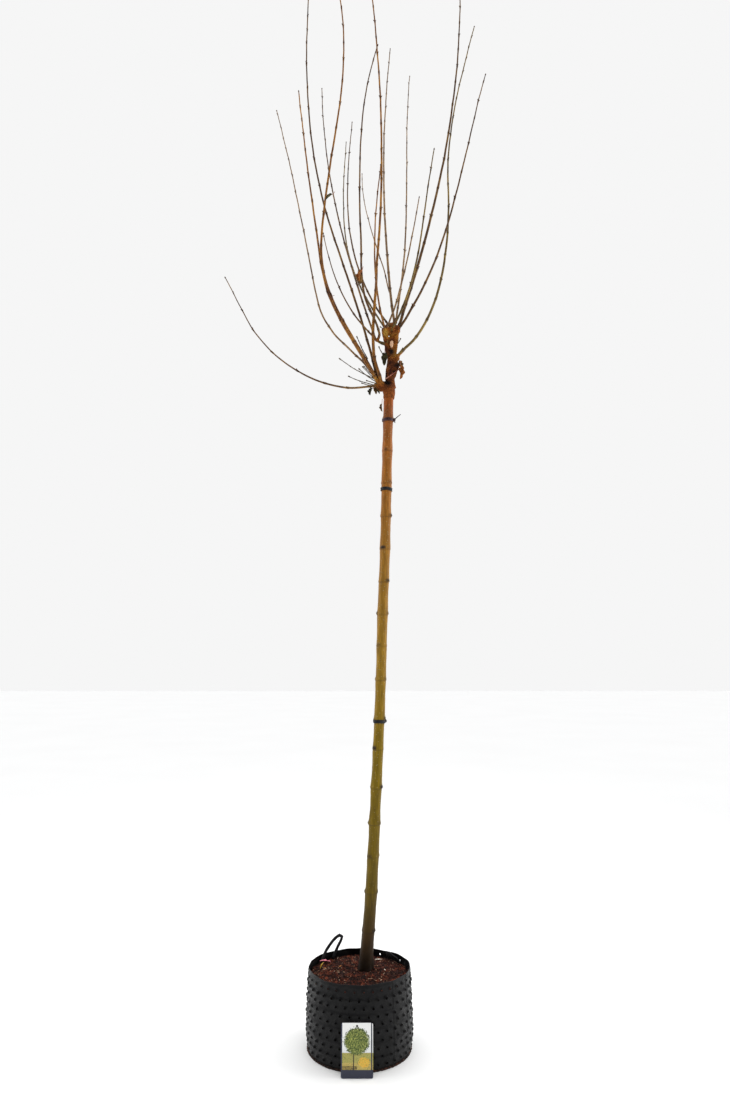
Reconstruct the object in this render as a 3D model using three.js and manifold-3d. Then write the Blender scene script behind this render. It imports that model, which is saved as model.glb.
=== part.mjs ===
// A young bare tree in a round bag pot: a tall clear stem, grafted at the top, with a crown of
// long upright shoots. Millimetres, +Z up. The origin is the middle of the bag's flat underside,
// -Y is the front and +X the right-hand side.
import * as THREE from "three";
import { mergeVertices } from "three/addons/utils/BufferGeometryUtils.js";
import Module from "manifold-3d";

const wasm = await Module();
wasm.setup();

// ---------------------------------------------------------------- driving dimensions
const GAP = 0.35;               // clear space between neighbouring pieces

const BAG_HEIGHT = 287;
const BAG_RADIUS = 203;         // at the widest, a third of the way up
const BAG_BASE_RADIUS = 197;
const BAG_RIM_RADIUS = 193;
const BAG_WALL = 3;
const BAG_SEGMENTS = 32;

const SOIL_EDGE = 257;          // soil height at the bag's wall
const SOIL_TOP = 275;           // soil height round the stem
const SOIL_FLAT_RADIUS = 70;    // level patch that the stem stands on

const STEM_LINE = [             // the stem's leaning middle line, [x, z]
  [22, SOIL_TOP], [42, 510], [63, 900], [82, 1300], [91, 1600], [102, 1860], [112, 2240], [121, 2570],
];
const STEM_TOP = 2570;
const STEM_FOOT_RADIUS = 24.5;
const STEM_RADIUS = 20.3;       // from a third of its height upwards
const STEM_FLARE = 6;           // how far the root flare stands out at the soil
const FLARE_HEIGHT = 40;
const NODE_SPACING = 135;       // from one swollen joint of the stem to the next
const NODE_SWELL = 1.6;
const STEM_RING_STEP = NODE_SPACING / 3;
const STEM_SIDES = 10;

const LIMB_SIDES = 8;
const RING_EVERY = 115;         // length of shoot from one ring of points to the next

// The grafted head: short thick limbs, [x, y, z] with the diameter at both ends.
const HEAD_LIMBS = [
  { name: "head_centre_limb", from: [125, 0, STEM_TOP + GAP], to: [131, 0, 2712], girth: [40, 29] },
  { name: "head_left_fork", from: [123, 0, 2700], to: [106, 1, 2812], girth: [21, 22] },
  { name: "head_right_fork", from: [143, 2, 2700], to: [156, 1, 2822], girth: [19, 18] },
  { name: "head_right_arm", from: [150, -3, 2655], to: [164, -3, 2780], girth: [19, 13] },
  { name: "head_cut_stub", from: [132, -5, 2700], to: [134, -9, 2774], girth: [15, 13], cut: true },
];
const HEAD_KNUCKLES = [         // lumpy swellings that the shoots spring from: centre and half sizes
  { name: "head_left_knuckle", centre: [90, 0, 2580], half: [30, 21, 25] },
  { name: "head_upper_knuckle", centre: [134, 0, 2830], half: [33, 23, 28] },
];

// The shoots of the crown. foot and tip are [x, y, z]. leave and arrive are the lean from plumb in
// degrees at the foot and at the tip, + to the right, and hold says how much of the length each
// lean is held for. girth is the diameter at both ends. A shoot with two bends has two stretches.
const SHOOTS = [
  { name: "shoot_left_2", girth: [14, 4.4],
    foot: [82, -8, 2582], bends: [
      { tip: [-158, -92, 3056], leave: -29, arrive: -9, hold: [0.36, 0.34] },
      { tip: [-254, -200, 3776], leave: -9, arrive: -6 }] },
  { name: "shoot_left_3", girth: [14, 4.4],
    foot: [84, 9, 2590], bends: [
      { tip: [-159, -100, 3229], leave: -28, arrive: 6, hold: [0.42, 0.4] },
      { tip: [-108, -260, 4292], leave: 5, arrive: -14, hold: [0.4, 0.39] }] },
  { name: "shoot_left_1", girth: [9.5, 3.6],
    foot: [78, 16, 2596], bends: [
      { tip: [-195, 106, 3040], leave: -24, arrive: -10, hold: [0.37, 0.47] },
      { tip: [-400, 260, 4032], leave: -11, arrive: -14 }] },
  { name: "shoot_left_4", girth: [11, 4.2],
    foot: [72, 4, 2622], bends: [
      { tip: [-145, -27, 3341], leave: -13, arrive: -17 },
      { tip: [-220, -60, 4510], leave: -15, arrive: 4 }] },
  { name: "shoot_centre_tall", girth: [14, 4.4],
    foot: [90, -14, 2588], bends: [
      { tip: [72, -45, 3112], leave: -22, arrive: 0 },
      { tip: [32, -120, 4480], leave: 5, arrive: -7 }] },
  { name: "shoot_low_left", girth: [9.5, 3.4],
    foot: [76, -12, 2578], bends: [
      { tip: [-253, -67, 2619], leave: -102, arrive: -63, hold: [0.45, 0.33] },
      { tip: [-547, -150, 2982], leave: -60, arrive: -29, hold: [0.46, 0.34] }] },
  { name: "shoot_cross_limb", girth: [13, 8],
    foot: [112, -4, 2762], bends: [
      { tip: [58, 2, 2796], leave: -80, arrive: -42 }] },
  { name: "shoot_cross_front", girth: [8, 3],
    foot: [62, -1, 2790], bends: [
      { tip: [-143, -260, 3112], leave: -52, arrive: -12 }] },
  { name: "shoot_cross_back", girth: [9, 3.8],
    foot: [66, 8, 2792], bends: [
      { tip: [-193, 380, 4242], leave: -17, arrive: -2 }] },
  { name: "shoot_back_1", girth: [9, 3.6],
    foot: [116, 12, 2832], bends: [
      { tip: [-73, 420, 3981], leave: -30, arrive: 3, hold: [0.31, 0.45] }] },
  { name: "shoot_back_2", girth: [9, 3.6],
    foot: [128, 10, 2844], bends: [
      { tip: [-42, 300, 4002], leave: -33, arrive: 4 }] },
  { name: "shoot_front_left", girth: [11, 3.8],
    foot: [108, -8, 2768], bends: [
      { tip: [0, -200, 3253], leave: -38, arrive: -6, hold: [0.43, 0.32] },
      { tip: [68, -420, 3802], leave: 0, arrive: 19, hold: [0.35, 0.38] }] },
  { name: "shoot_front_short", girth: [9, 4],
    foot: [112, -12, 2800], bends: [
      { tip: [81, -350, 3345], leave: -19, arrive: 7 }] },
  { name: "shoot_back_tall", girth: [12, 4.2],
    foot: [146, 14, 2843], bends: [
      { tip: [149, 450, 4518], leave: -5, arrive: 5 }] },
  { name: "shoot_back_side", girth: [6, 3],
    foot: [130, 100, 3055], bends: [
      { tip: [7, 300, 3733], leave: -11, arrive: 0 }] },
  { name: "shoot_back_right", girth: [9, 3.6],
    foot: [145, 6, 2844], bends: [
      { tip: [240, 330, 4269], leave: 11, arrive: 5 }] },
  { name: "shoot_front_right_1", girth: [9, 4],
    foot: [112, -13, 2812], bends: [
      { tip: [237, -250, 3271], leave: 21, arrive: 10 }] },
  { name: "shoot_front_right_2", girth: [10, 4],
    foot: [132, -15, 2815], bends: [
      { tip: [287, -380, 3391], leave: 32, arrive: 11 }] },
  { name: "shoot_right_thick", girth: [14, 4.8],
    foot: [148, 0, 2800], bends: [
      { tip: [439, -80, 4310], leave: 19, arrive: 1 }] },
  { name: "shoot_right_sweep", girth: [12.5, 4.2],
    foot: [156, -2, 2708], bends: [
      { tip: [395, 93, 3501], leave: 49, arrive: 1, hold: [0.31, 0.35] },
      { tip: [538, 180, 4408], leave: -2, arrive: 14 }] },
  { name: "shoot_right_out", girth: [11, 3.6],
    foot: [158, -9, 2825], bends: [
      { tip: [512, -260, 3805], leave: 38, arrive: 16 }] },
];
const DEFAULT_HOLD = [0.34, 0.34];
const DEPTH_EASE = [0.3, 0.75]; // how much of its depth a shoot has covered at its two pulls

const TIES = [                  // bands round the stem: height of the middle, and of the band
  { name: "tie_lower", height: 1200, band: 14 },
  { name: "tie_middle", height: 2137, band: 16 },
  { name: "tie_upper", height: 2432, band: 14 },
];
const TIE_THICKNESS = 2.2;
const TIE_CLEARANCE = 1.9;      // over the stem's radius, with room for a swollen joint

const STRAP_WIDTH = 11;
const STRAP_THICKNESS = 3.5;
const STRAP_RADIUS = 181.5;     // the strap stands just inside the bag's wall
const STRAP_FOOT = 264;
const HANDLES = [               // bearing from +X, rise over the rim, half width, inward lean, skew
  { name: "handle_left", bearing: 136, rise: 61, half: 32, lean: 1, skew: -62 },
  { name: "handle_right", bearing: 42, rise: 12, half: 30, lean: 24, skew: 0 },
];

const CARD = { width: 113, height: 172, thickness: 1.2, corner: 6, hole: 4, foot: 1, x: -7 };
const CARD_FOOT_Y = -230;
const CARD_TOP_Y = -206;

// ---------------------------------------------------------------- colours
const bark = new THREE.MeshStandardMaterial({ color: 0x8a7140, roughness: 0.8, metalness: 0 });
const headBark = new THREE.MeshStandardMaterial({ color: 0x6b4326, roughness: 0.85, metalness: 0 });
const shootBark = new THREE.MeshStandardMaterial({ color: 0x6f5b3a, roughness: 0.7, metalness: 0 });
const bagFilm = new THREE.MeshStandardMaterial({ color: 0x26272a, roughness: 0.45, metalness: 0 });
const soil = new THREE.MeshStandardMaterial({ color: 0x4a3428, roughness: 1, metalness: 0 });
const tieTape = new THREE.MeshStandardMaterial({ color: 0x1c1c1e, roughness: 0.6, metalness: 0 });
const cardSheet = new THREE.MeshStandardMaterial({ color: 0xd8d6c4, roughness: 0.5, metalness: 0 });

const plant = new THREE.Group();

function addMesh(name, geometry, material) {
  const mesh = new THREE.Mesh(geometry, material);
  mesh.name = name;
  plant.add(mesh);
  return mesh;
}

// ---------------------------------------------------------------- closed solids from rings
// Rings of equal length, each running anticlockwise seen from the far end, closed by a point in
// the middle of each end.
function loft(rings, footCentre, tipCentre) {
  const sides = rings[0].length;
  const points = [footCentre, ...rings.flat(), tipCentre];
  const last = points.length - 1;
  const faces = [];
  for (let side = 0; side < sides; side++) {
    const next = (side + 1) % sides;
    faces.push(0, 1 + next, 1 + side);
    for (let ring = 0; ring < rings.length - 1; ring++) {
      const low = 1 + ring * sides;
      const high = low + sides;
      faces.push(low + side, low + next, high + next);
      faces.push(low + side, high + next, high + side);
    }
    const top = 1 + (rings.length - 1) * sides;
    faces.push(last, top + side, top + next);
  }
  const geometry = new THREE.BufferGeometry().setFromPoints(points);
  geometry.setIndex(faces);
  geometry.computeVertexNormals();
  return geometry;
}

// A round limb along a curve. grow widens it all over, for the room its neighbours leave it.
function limbGeometry(curve, girth, pointed, grow = 0) {
  const steps = Math.max(3, Math.round(curve.getLength() / RING_EVERY));
  const frames = curve.computeFrenetFrames(steps, false);
  const rings = [];
  for (let step = 0; step <= steps; step++) {
    const centre = curve.getPointAt(step / steps);
    const radius = THREE.MathUtils.lerp(girth[0], girth[1], step / steps) / 2 + grow;
    const ring = [];
    for (let side = 0; side < LIMB_SIDES; side++) {
      const angle = (side / LIMB_SIDES) * 2 * Math.PI;
      ring.push(centre.clone()
        .addScaledVector(frames.normals[step], radius * Math.cos(angle))
        .addScaledVector(frames.binormals[step], radius * Math.sin(angle)));
    }
    rings.push(ring);
  }
  const foot = curve.getPointAt(0).addScaledVector(frames.tangents[0], -grow);
  const tip = curve.getPointAt(1)
    .addScaledVector(frames.tangents[steps], grow + (pointed ? girth[1] : 0));
  return loft(rings, foot, tip);
}

// ---------------------------------------------------------------- fitting pieces together
function toSolid(geometry) {
  const bare = geometry.clone();
  bare.deleteAttribute("normal");
  bare.deleteAttribute("uv");
  const merged = mergeVertices(bare, 1e-3);
  return new wasm.Manifold(new wasm.Mesh({
    numProp: 3,
    vertProperties: new Float32Array(merged.getAttribute("position").array),
    triVerts: new Uint32Array(merged.index.array),
  }));
}

function toGeometry(solid) {
  const { vertProperties, triVerts } = solid.getMesh();
  const geometry = new THREE.BufferGeometry();
  geometry.setAttribute("position", new THREE.BufferAttribute(new Float32Array(vertProperties), 3));
  geometry.setIndex(new THREE.BufferAttribute(new Uint32Array(triVerts), 1));
  geometry.computeVertexNormals();
  return geometry;
}

// Pieces already in place, each with the room that later pieces are cut back to.
const placed = [];

function place(name, geometry, roomGeometry, material) {
  geometry.computeBoundingBox();
  let solid = toSolid(geometry);
  for (const neighbour of placed) {
    if (neighbour.box.intersectsBox(geometry.boundingBox)) {
      solid = solid.subtract(neighbour.room);
    }
  }
  const body = solid.decompose().reduce((a, b) => (b.volume() > a.volume() ? b : a));
  roomGeometry.computeBoundingBox();
  placed.push({ box: roomGeometry.boundingBox, room: toSolid(roomGeometry) });
  addMesh(name, toGeometry(body), material);
}

// ---------------------------------------------------------------- bag pot and root ball
function lathe(profile) {
  return new THREE.LatheGeometry(profile.map(([x, z]) => new THREE.Vector2(x, z)), BAG_SEGMENTS)
    .rotateX(Math.PI / 2);
}

function bagRadius(height) {
  const widest = BAG_HEIGHT / 3;
  const t = height < widest ? 1 - height / widest : (height - widest) / (BAG_HEIGHT - widest);
  const end = height < widest ? BAG_BASE_RADIUS : BAG_RIM_RADIUS;
  return BAG_RADIUS - (BAG_RADIUS - end) * t * t;
}

function bagWall(offset, from, to, steps) {
  return Array.from({ length: steps + 1 }, (_, i) => {
    const height = from + ((to - from) * i) / steps;
    return [bagRadius(height) - offset, height];
  });
}

function addBag() {
  const outer = bagWall(0, 0, BAG_HEIGHT, 6);
  const inner = bagWall(BAG_WALL, BAG_WALL, BAG_HEIGHT, 6).reverse();
  addMesh("bag_pot", lathe([[0, 0], ...outer, ...inner, [0, BAG_WALL]]), bagFilm);
}

function addRootBall() {
  const floor = BAG_WALL + GAP;
  const side = bagWall(BAG_WALL + GAP * 2, floor, SOIL_EDGE, 5);
  addMesh("root_ball",
    lathe([[0, floor], ...side, [SOIL_FLAT_RADIUS, SOIL_TOP], [0, SOIL_TOP]]), soil);
}

// A strap loop that stands on the soil's edge, inside the rim.
function addHandle({ name, bearing, rise, half, lean, skew }) {
  const top = BAG_HEIGHT + rise - STRAP_WIDTH / 2;
  const shoulder = STRAP_FOOT + (top - STRAP_FOOT) * 0.45;
  // along is measured round the rim, which the strap follows; share is how high up it is
  const at = (along, share, height) => {
    const x = along + skew * share;
    return new THREE.Vector3(x, lean * share + (x * x) / (2 * STRAP_RADIUS), height);
  };
  const route = new THREE.CatmullRomCurve3([
    at(-half, 0, STRAP_FOOT),
    at(-half * 0.85, 0.4, shoulder),
    at(-half * 0.5, 0.88, top - 8),
    at(0, 1, top),
    at(half * 0.5, 0.96, top - 6),
    at(half * 0.85, 0.4, shoulder),
    at(half, 0, STRAP_FOOT),
  ]);
  const steps = 16;
  const thick = new THREE.Vector3(0, 1, 0);
  const rings = [];
  for (let step = 0; step <= steps; step++) {
    const centre = route.getPointAt(step / steps);
    const across = route.getTangentAt(step / steps).cross(thick).normalize();
    rings.push([[1, 1], [1, -1], [-1, -1], [-1, 1]].map(([a, b]) => centre.clone()
      .addScaledVector(across, (a * STRAP_WIDTH) / 2)
      .addScaledVector(thick, (b * STRAP_THICKNESS) / 2)));
  }
  const mesh = addMesh(name, loft(rings, route.getPointAt(0), route.getPointAt(1)), bagFilm);
  const turn = THREE.MathUtils.degToRad(bearing);
  mesh.position.set(STRAP_RADIUS * Math.cos(turn), STRAP_RADIUS * Math.sin(turn), 0);
  mesh.rotation.z = turn + Math.PI / 2;
}

// ---------------------------------------------------------------- stem
const stemCurve = new THREE.CatmullRomCurve3(STEM_LINE.map(([x, z]) => new THREE.Vector3(x, 0, z)));

function stemX(height) {
  let low = 0;
  let high = 1;
  for (let pass = 0; pass < 30; pass++) {
    const middle = (low + high) / 2;
    if (stemCurve.getPoint(middle).z < height) low = middle;
    else high = middle;
  }
  return stemCurve.getPoint((low + high) / 2).x;
}

function stemRadius(height) {
  const up = THREE.MathUtils.clamp((height - SOIL_TOP) / (STEM_TOP - SOIL_TOP), 0, 1);
  const taper = THREE.MathUtils.lerp(STEM_FOOT_RADIUS, STEM_RADIUS, Math.min(1, up * 3));
  const flare = STEM_FLARE * Math.exp(-(height - SOIL_TOP) / FLARE_HEIGHT);
  const joint = Math.max(0, Math.cos(((height - SOIL_TOP) / NODE_SPACING) * 2 * Math.PI));
  return taper + flare + NODE_SWELL * joint * Math.min(1, up * 8);
}

function stemRing(height, grow) {
  const radius = stemRadius(height) + grow;
  return Array.from({ length: STEM_SIDES }, (_, side) => {
    const angle = (side / STEM_SIDES) * 2 * Math.PI;
    return new THREE.Vector3(
      stemX(height) + radius * Math.cos(angle), radius * Math.sin(angle), height);
  });
}

function stemGeometry(grow = 0) {
  const foot = SOIL_TOP + GAP;
  const steps = Math.round((STEM_TOP - foot) / STEM_RING_STEP);
  const heights = Array.from({ length: steps + 1 }, (_, i) => foot + ((STEM_TOP - foot) * i) / steps);
  const middle = (height) => new THREE.Vector3(stemX(height), 0, height);
  return loft(heights.map((height) => stemRing(height, grow)), middle(foot), middle(STEM_TOP));
}

function addTie({ name, height, band }) {
  const inner = stemRadius(height) + TIE_CLEARANCE;
  const outer = inner + TIE_THICKNESS;
  const half = band / 2;
  const profile = [[inner, -half], [outer, -half], [outer, half], [inner, half], [inner, -half]];
  const ring = new THREE.LatheGeometry(profile.map(([x, z]) => new THREE.Vector2(x, z)), 20);
  const mesh = addMesh(name, ring.rotateX(Math.PI / 2), tieTape);
  mesh.position.set(stemX(height), 0, height);
}

// ---------------------------------------------------------------- grafted head
function knuckleGeometry({ centre, half }, grow = 0) {
  const ball = new THREE.SphereGeometry(1, 12, 8);
  const position = ball.getAttribute("position");
  for (let i = 0; i < position.count; i++) {
    const [x, y, z] = [position.getX(i), position.getY(i), position.getZ(i)];
    const lump = 1 + 0.07 * Math.sin(5 * x + 2 * z) * Math.cos(4 * y - z);
    position.setXYZ(i,
      centre[0] + x * (half[0] * lump + grow),
      centre[1] + y * (half[1] * lump + grow),
      centre[2] + z * (half[2] * lump + grow));
  }
  return ball;
}

function addHead() {
  for (const { name, from, to, girth, cut } of HEAD_LIMBS) {
    const line = new THREE.LineCurve3(new THREE.Vector3(...from), new THREE.Vector3(...to));
    place(name, limbGeometry(line, girth, !cut), limbGeometry(line, girth, !cut, GAP), headBark);
  }
  for (const knuckle of HEAD_KNUCKLES) {
    place(knuckle.name, knuckleGeometry(knuckle), knuckleGeometry(knuckle, GAP), headBark);
  }
}

// ---------------------------------------------------------------- shoots
function leanVector(degrees, length) {
  const angle = THREE.MathUtils.degToRad(degrees);
  return new THREE.Vector3(length * Math.sin(angle), 0, length * Math.cos(angle));
}

function shootCurve(foot, { tip, leave, arrive, hold = DEFAULT_HOLD }) {
  const start = new THREE.Vector3(...foot);
  const end = new THREE.Vector3(...tip);
  const chord = start.distanceTo(end);
  const firstPull = start.clone().add(leanVector(leave, chord * hold[0]));
  const secondPull = end.clone().sub(leanVector(arrive, chord * hold[1]));
  firstPull.y = THREE.MathUtils.lerp(start.y, end.y, DEPTH_EASE[0]);
  secondPull.y = THREE.MathUtils.lerp(start.y, end.y, DEPTH_EASE[1]);
  return new THREE.CubicBezierCurve3(start, firstPull, secondPull, end);
}

// One mesh for a single bend. Two bends give a lower and an upper stretch, end to end.
function addShoot({ name, girth, foot, bends }) {
  const footOf = (i) => (i === 0 ? foot : bends[i - 1].tip);
  const curves = bends.map((bend, i) => shootCurve(footOf(i), bend));
  const whole = curves.reduce((sum, curve) => sum + curve.getLength(), 0);
  let run = 0;
  curves.forEach((curve, i) => {
    const girthAt = (length) => THREE.MathUtils.lerp(girth[0], girth[1], Math.pow(length / whole, 0.8));
    const ends = [girthAt(run), girthAt(run + curve.getLength())];
    run += curve.getLength();
    const label = curves.length === 1 ? name : `${name}_${i === 0 ? "lower" : "upper"}`;
    place(label, limbGeometry(curve, ends, true), limbGeometry(curve, ends, true, GAP), shootBark);
  });
}

// ---------------------------------------------------------------- plant label
function addCard() {
  const { width, height, thickness, corner, hole, foot, x } = CARD;
  const [left, right] = [-width / 2, width / 2];
  const outline = new THREE.Shape();
  outline.moveTo(left + corner, 0);
  outline.lineTo(right - corner, 0);
  outline.absarc(right - corner, corner, corner, -Math.PI / 2, 0);
  outline.absarc(right - corner, height - corner, corner, 0, Math.PI / 2);
  outline.absarc(left + corner, height - corner, corner, Math.PI / 2, Math.PI);
  outline.absarc(left + corner, corner, corner, Math.PI, 1.5 * Math.PI);
  const eyelet = new THREE.Path();
  eyelet.absarc(0, height - 10, hole, 0, 2 * Math.PI, true);
  outline.holes.push(eyelet);
  const sheet = new THREE.ExtrudeGeometry(outline, {
    depth: thickness, bevelEnabled: false, curveSegments: 4,
  });
  const mesh = addMesh("plant_label", sheet, cardSheet);
  const leanBack = Math.asin((CARD_TOP_Y - CARD_FOOT_Y) / height);
  mesh.position.set(x, CARD_FOOT_Y, foot);
  mesh.rotation.x = Math.PI / 2 - leanBack;
}

addBag();
addRootBall();
HANDLES.forEach(addHandle);
place("stem", stemGeometry(), stemGeometry(GAP), bark);
TIES.forEach(addTie);
addHead();
SHOOTS.forEach(addShoot);
addCard();

export default plant;
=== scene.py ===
"""Looks of a young bare tree in a round bag pot: a clear stem, a grafted head and long shoots."""
import math
import bpy
import bmesh
import numpy as np
from mathutils import Matrix, Vector, noise


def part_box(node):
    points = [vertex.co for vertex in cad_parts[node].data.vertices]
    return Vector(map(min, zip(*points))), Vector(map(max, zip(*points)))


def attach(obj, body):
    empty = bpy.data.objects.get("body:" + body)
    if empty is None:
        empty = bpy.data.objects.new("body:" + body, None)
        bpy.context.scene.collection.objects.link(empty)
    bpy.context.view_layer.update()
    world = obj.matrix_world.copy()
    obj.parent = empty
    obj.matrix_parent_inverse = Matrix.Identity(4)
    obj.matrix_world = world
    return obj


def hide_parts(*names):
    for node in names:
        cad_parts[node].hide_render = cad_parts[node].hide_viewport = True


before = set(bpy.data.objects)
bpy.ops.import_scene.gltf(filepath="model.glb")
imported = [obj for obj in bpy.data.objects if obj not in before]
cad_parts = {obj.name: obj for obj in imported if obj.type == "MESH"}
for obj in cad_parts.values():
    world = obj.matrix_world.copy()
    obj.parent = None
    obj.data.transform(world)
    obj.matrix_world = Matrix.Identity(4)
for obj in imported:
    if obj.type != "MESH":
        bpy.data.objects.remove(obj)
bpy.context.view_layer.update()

MM = 0.001
BODY = "root"
SHOOT_SIDES = 8                         # points round each ring of a shoot's frame solid


def spot_in(node, across, deep, up):
    """A place as shares of a frame solid's box, from its left, front and foot."""
    low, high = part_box(node)
    return Vector([a + (b - a) * share for a, b, share in zip(low, high, (across, deep, up))])


HUB = spot_in("head_centre_limb", 0.5, 0.5, 0.5)    # every shoot leaves the head near here


# ------------------------------------------------------------------ small helpers
def linear(colour):
    """An sRGB hex colour, such as "8a7140", as linear red, green, blue and alpha."""
    parts = [int(colour[i:i + 2], 16) / 255 for i in (0, 2, 4)]
    return [c / 12.92 if c <= 0.04045 else ((c + 0.055) / 1.055) ** 2.4 for c in parts] + [1.0]


def add(tree, kind, links=None, stops=None, **settings):
    """Adds a node. links gives its inputs, each a value or another node's output socket."""
    made = tree.nodes.new(kind)
    for name, value in settings.items():
        setattr(made, name, value)
    if stops:
        ramp = made.color_ramp
        while len(ramp.elements) < len(stops):
            ramp.elements.new(0.5)
        for element, (place, colour) in zip(ramp.elements, stops):
            element.position = place
            element.color = linear(colour) if isinstance(colour, str) else [colour] * 3 + [1.0]
    for name, value in (links or {}).items():
        if isinstance(value, bpy.types.NodeSocket):
            tree.links.new(value, made.inputs[name])
        else:
            made.inputs[name].default_value = value
    return made


def new_material(name):
    """A material with its nodes cleared, and its Object coordinates."""
    material = bpy.data.materials.new(name)
    material.use_nodes = True
    material.node_tree.nodes.clear()
    place = add(material.node_tree, "ShaderNodeTexCoord").outputs["Object"]
    return material, material.node_tree, place


def finish_material(tree, **sockets):
    """The shader and the output. A key's underscores stand for spaces in the socket's name."""
    shader = add(tree, "ShaderNodeBsdfPrincipled",
                 {key.replace("_", " "): value for key, value in sockets.items()})
    add(tree, "ShaderNodeOutputMaterial", {"Surface": shader.outputs["BSDF"]})
    return shader


def mesh_object(name, points, faces, materials, smooth=True):
    """A new piece from points and faces, at the origin, with its materials."""
    mesh = bpy.data.meshes.new(name)
    mesh.from_pydata([tuple(p) for p in points], [], faces)
    mesh.validate()
    for material in materials:
        mesh.materials.append(material)
    mesh.polygons.foreach_set("use_smooth", [smooth] * len(mesh.polygons))
    made = bpy.data.objects.new(name, mesh)
    bpy.context.scene.collection.objects.link(made)
    return made


def give(piece, slot, *nodes):
    """Puts a finished piece on the plant's one body, in place of the frame's own solids."""
    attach(piece, BODY)
    if nodes:
        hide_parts(*nodes)
    return piece


def wall_faces(rings, sides, start=0):
    """Quads between rings of points that run anticlockwise, from the foot up, facing outwards."""
    faces = []
    for ring in range(rings - 1):
        for side in range(sides):
            nxt = (side + 1) % sides
            low, high = start + ring * sides, start + (ring + 1) * sides
            faces.append((low + side, low + nxt, high + nxt, high + side))
    return faces


def pole_faces(foot, tip, last, sides):
    """Triangles that close a wall: round its foot point, and round its tip from its last ring."""
    faces = []
    for side in range(sides):
        nxt = (side + 1) % sides
        faces.append((foot, nxt, side))
        faces.append((tip, last + side, last + nxt))
    return faces


def hoop_faces(rings, size):
    """Quads of a hoop: rings of size points each, joined end to end."""
    faces = []
    for ring in range(rings):
        nxt = (ring + 1) % rings
        for k in range(size):
            after = (k + 1) % size
            faces.append((ring * size + k, nxt * size + k, nxt * size + after, ring * size + after))
    return faces


def spread_faces(rings, sides):
    """Quads between level rings that widen outwards from the middle, facing up."""
    faces = []
    for ring in range(rings - 1):
        for side in range(sides):
            nxt = (side + 1) % sides
            near, far = ring * sides, (ring + 1) * sides
            faces.append((near + side, far + side, far + nxt, near + nxt))
    return faces


def joined_object(name, pieces, materials, smooth=True):
    """Several mesh parts, each (points, faces, material number), as one piece."""
    points, faces, numbers = [], [], []
    for part_points, part_faces, number in pieces:
        start = len(points)
        points.extend(part_points)
        faces.extend([tuple(i + start for i in face) for face in part_faces])
        numbers.extend([number] * len(part_faces))
    made = mesh_object(name, points, faces, materials, smooth)
    made.data.polygons.foreach_set("material_index", numbers)
    return made


def bake_modifiers(piece):
    """Turns a piece with live modifiers into a plain mesh."""
    graph = bpy.context.evaluated_depsgraph_get()
    mesh = bpy.data.meshes.new_from_object(piece.evaluated_get(graph))
    piece.modifiers.clear()
    piece.data = mesh
    return piece


# ------------------------------------------------------------------ reading the frame
def push_out(piece, amount):
    """Moves every vertex along its normal by what amount gives for its place."""
    mesh = piece.data
    spots = np.empty(len(mesh.vertices) * 3)
    mesh.vertices.foreach_get("co", spots)
    spots = spots.reshape(-1, 3)
    normals = np.empty(spots.size)
    mesh.vertex_normals.foreach_get("vector", normals)
    steps = np.array([amount(Vector(spot)) for spot in spots])
    spots += normals.reshape(-1, 3) * steps[:, None]
    mesh.vertices.foreach_set("co", spots.ravel())
    mesh.update()


def node_points(node):
    """A frame node's points as rows of x, y and z."""
    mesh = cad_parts[node].data
    points = np.zeros(len(mesh.vertices) * 3)
    mesh.vertices.foreach_get("co", points)
    return points.reshape(-1, 3)


def level_rings(node):
    """Height, middle and half width of an upright limb, wherever it has a ring of points."""
    points = node_points(node)
    rows = []
    for height in np.unique(points[:, 2].round(5)):
        level = points[abs(points[:, 2] - height) < 1e-4]
        low, high = level.min(0), level.max(0)
        rows.append((height, (low[0] + high[0]) / 2, (low[1] + high[1]) / 2, (high[0] - low[0]) / 2))
    return np.array(rows)


def limb_line(node, below=HUB):
    """Middle points with their radius, from where a limb's foot is cut to its tip. below is a
    place near its foot, so that its tip is the point that lies furthest from there."""
    mesh = bmesh.new()
    mesh.from_mesh(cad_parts[node].data)
    bmesh.ops.remove_doubles(mesh, verts=mesh.verts, dist=1e-5)
    mesh.verts.index_update()
    tip = max(mesh.verts, key=lambda v: (v.co - below).length)
    seen, ring, line = {tip}, {tip}, [(tip.co.copy(), 0.0)]
    while True:
        # sorted, because a set's order changes from run to run, and the sums below with it
        ring = sorted({edge.other_vert(v) for v in ring for edge in v.link_edges} - seen,
                      key=lambda v: v.index)
        if len(ring) != SHOOT_SIDES:
            break
        seen.update(ring)
        middle = sum((v.co for v in ring), Vector()) / len(ring)
        line.append((middle, sum((v.co - middle).length for v in ring) / len(ring)))
    rest = [v.co.copy() for v in mesh.verts if v not in seen]
    if rest:
        middle = sum(rest, Vector()) / len(rest)
        line.append((middle, line[-1][1]))
    mesh.free()
    return line[::-1]


def shoot_lines():
    """Each shoot's whole line, with the two stretches of a long one put end to end."""
    lines = {}
    for node in sorted(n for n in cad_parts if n.startswith("shoot_")):
        name = node.removesuffix("_lower").removesuffix("_upper")
        lines.setdefault(name, {"nodes": [], "line": []})
        line = limb_line(node)
        if node.endswith("_upper"):
            lower = lines[name]["line"]
            lines[name]["line"] = lower[:-1] + line[1:]
        else:
            lines[name]["line"] = line
        lines[name]["nodes"].append(node)
    return lines


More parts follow.
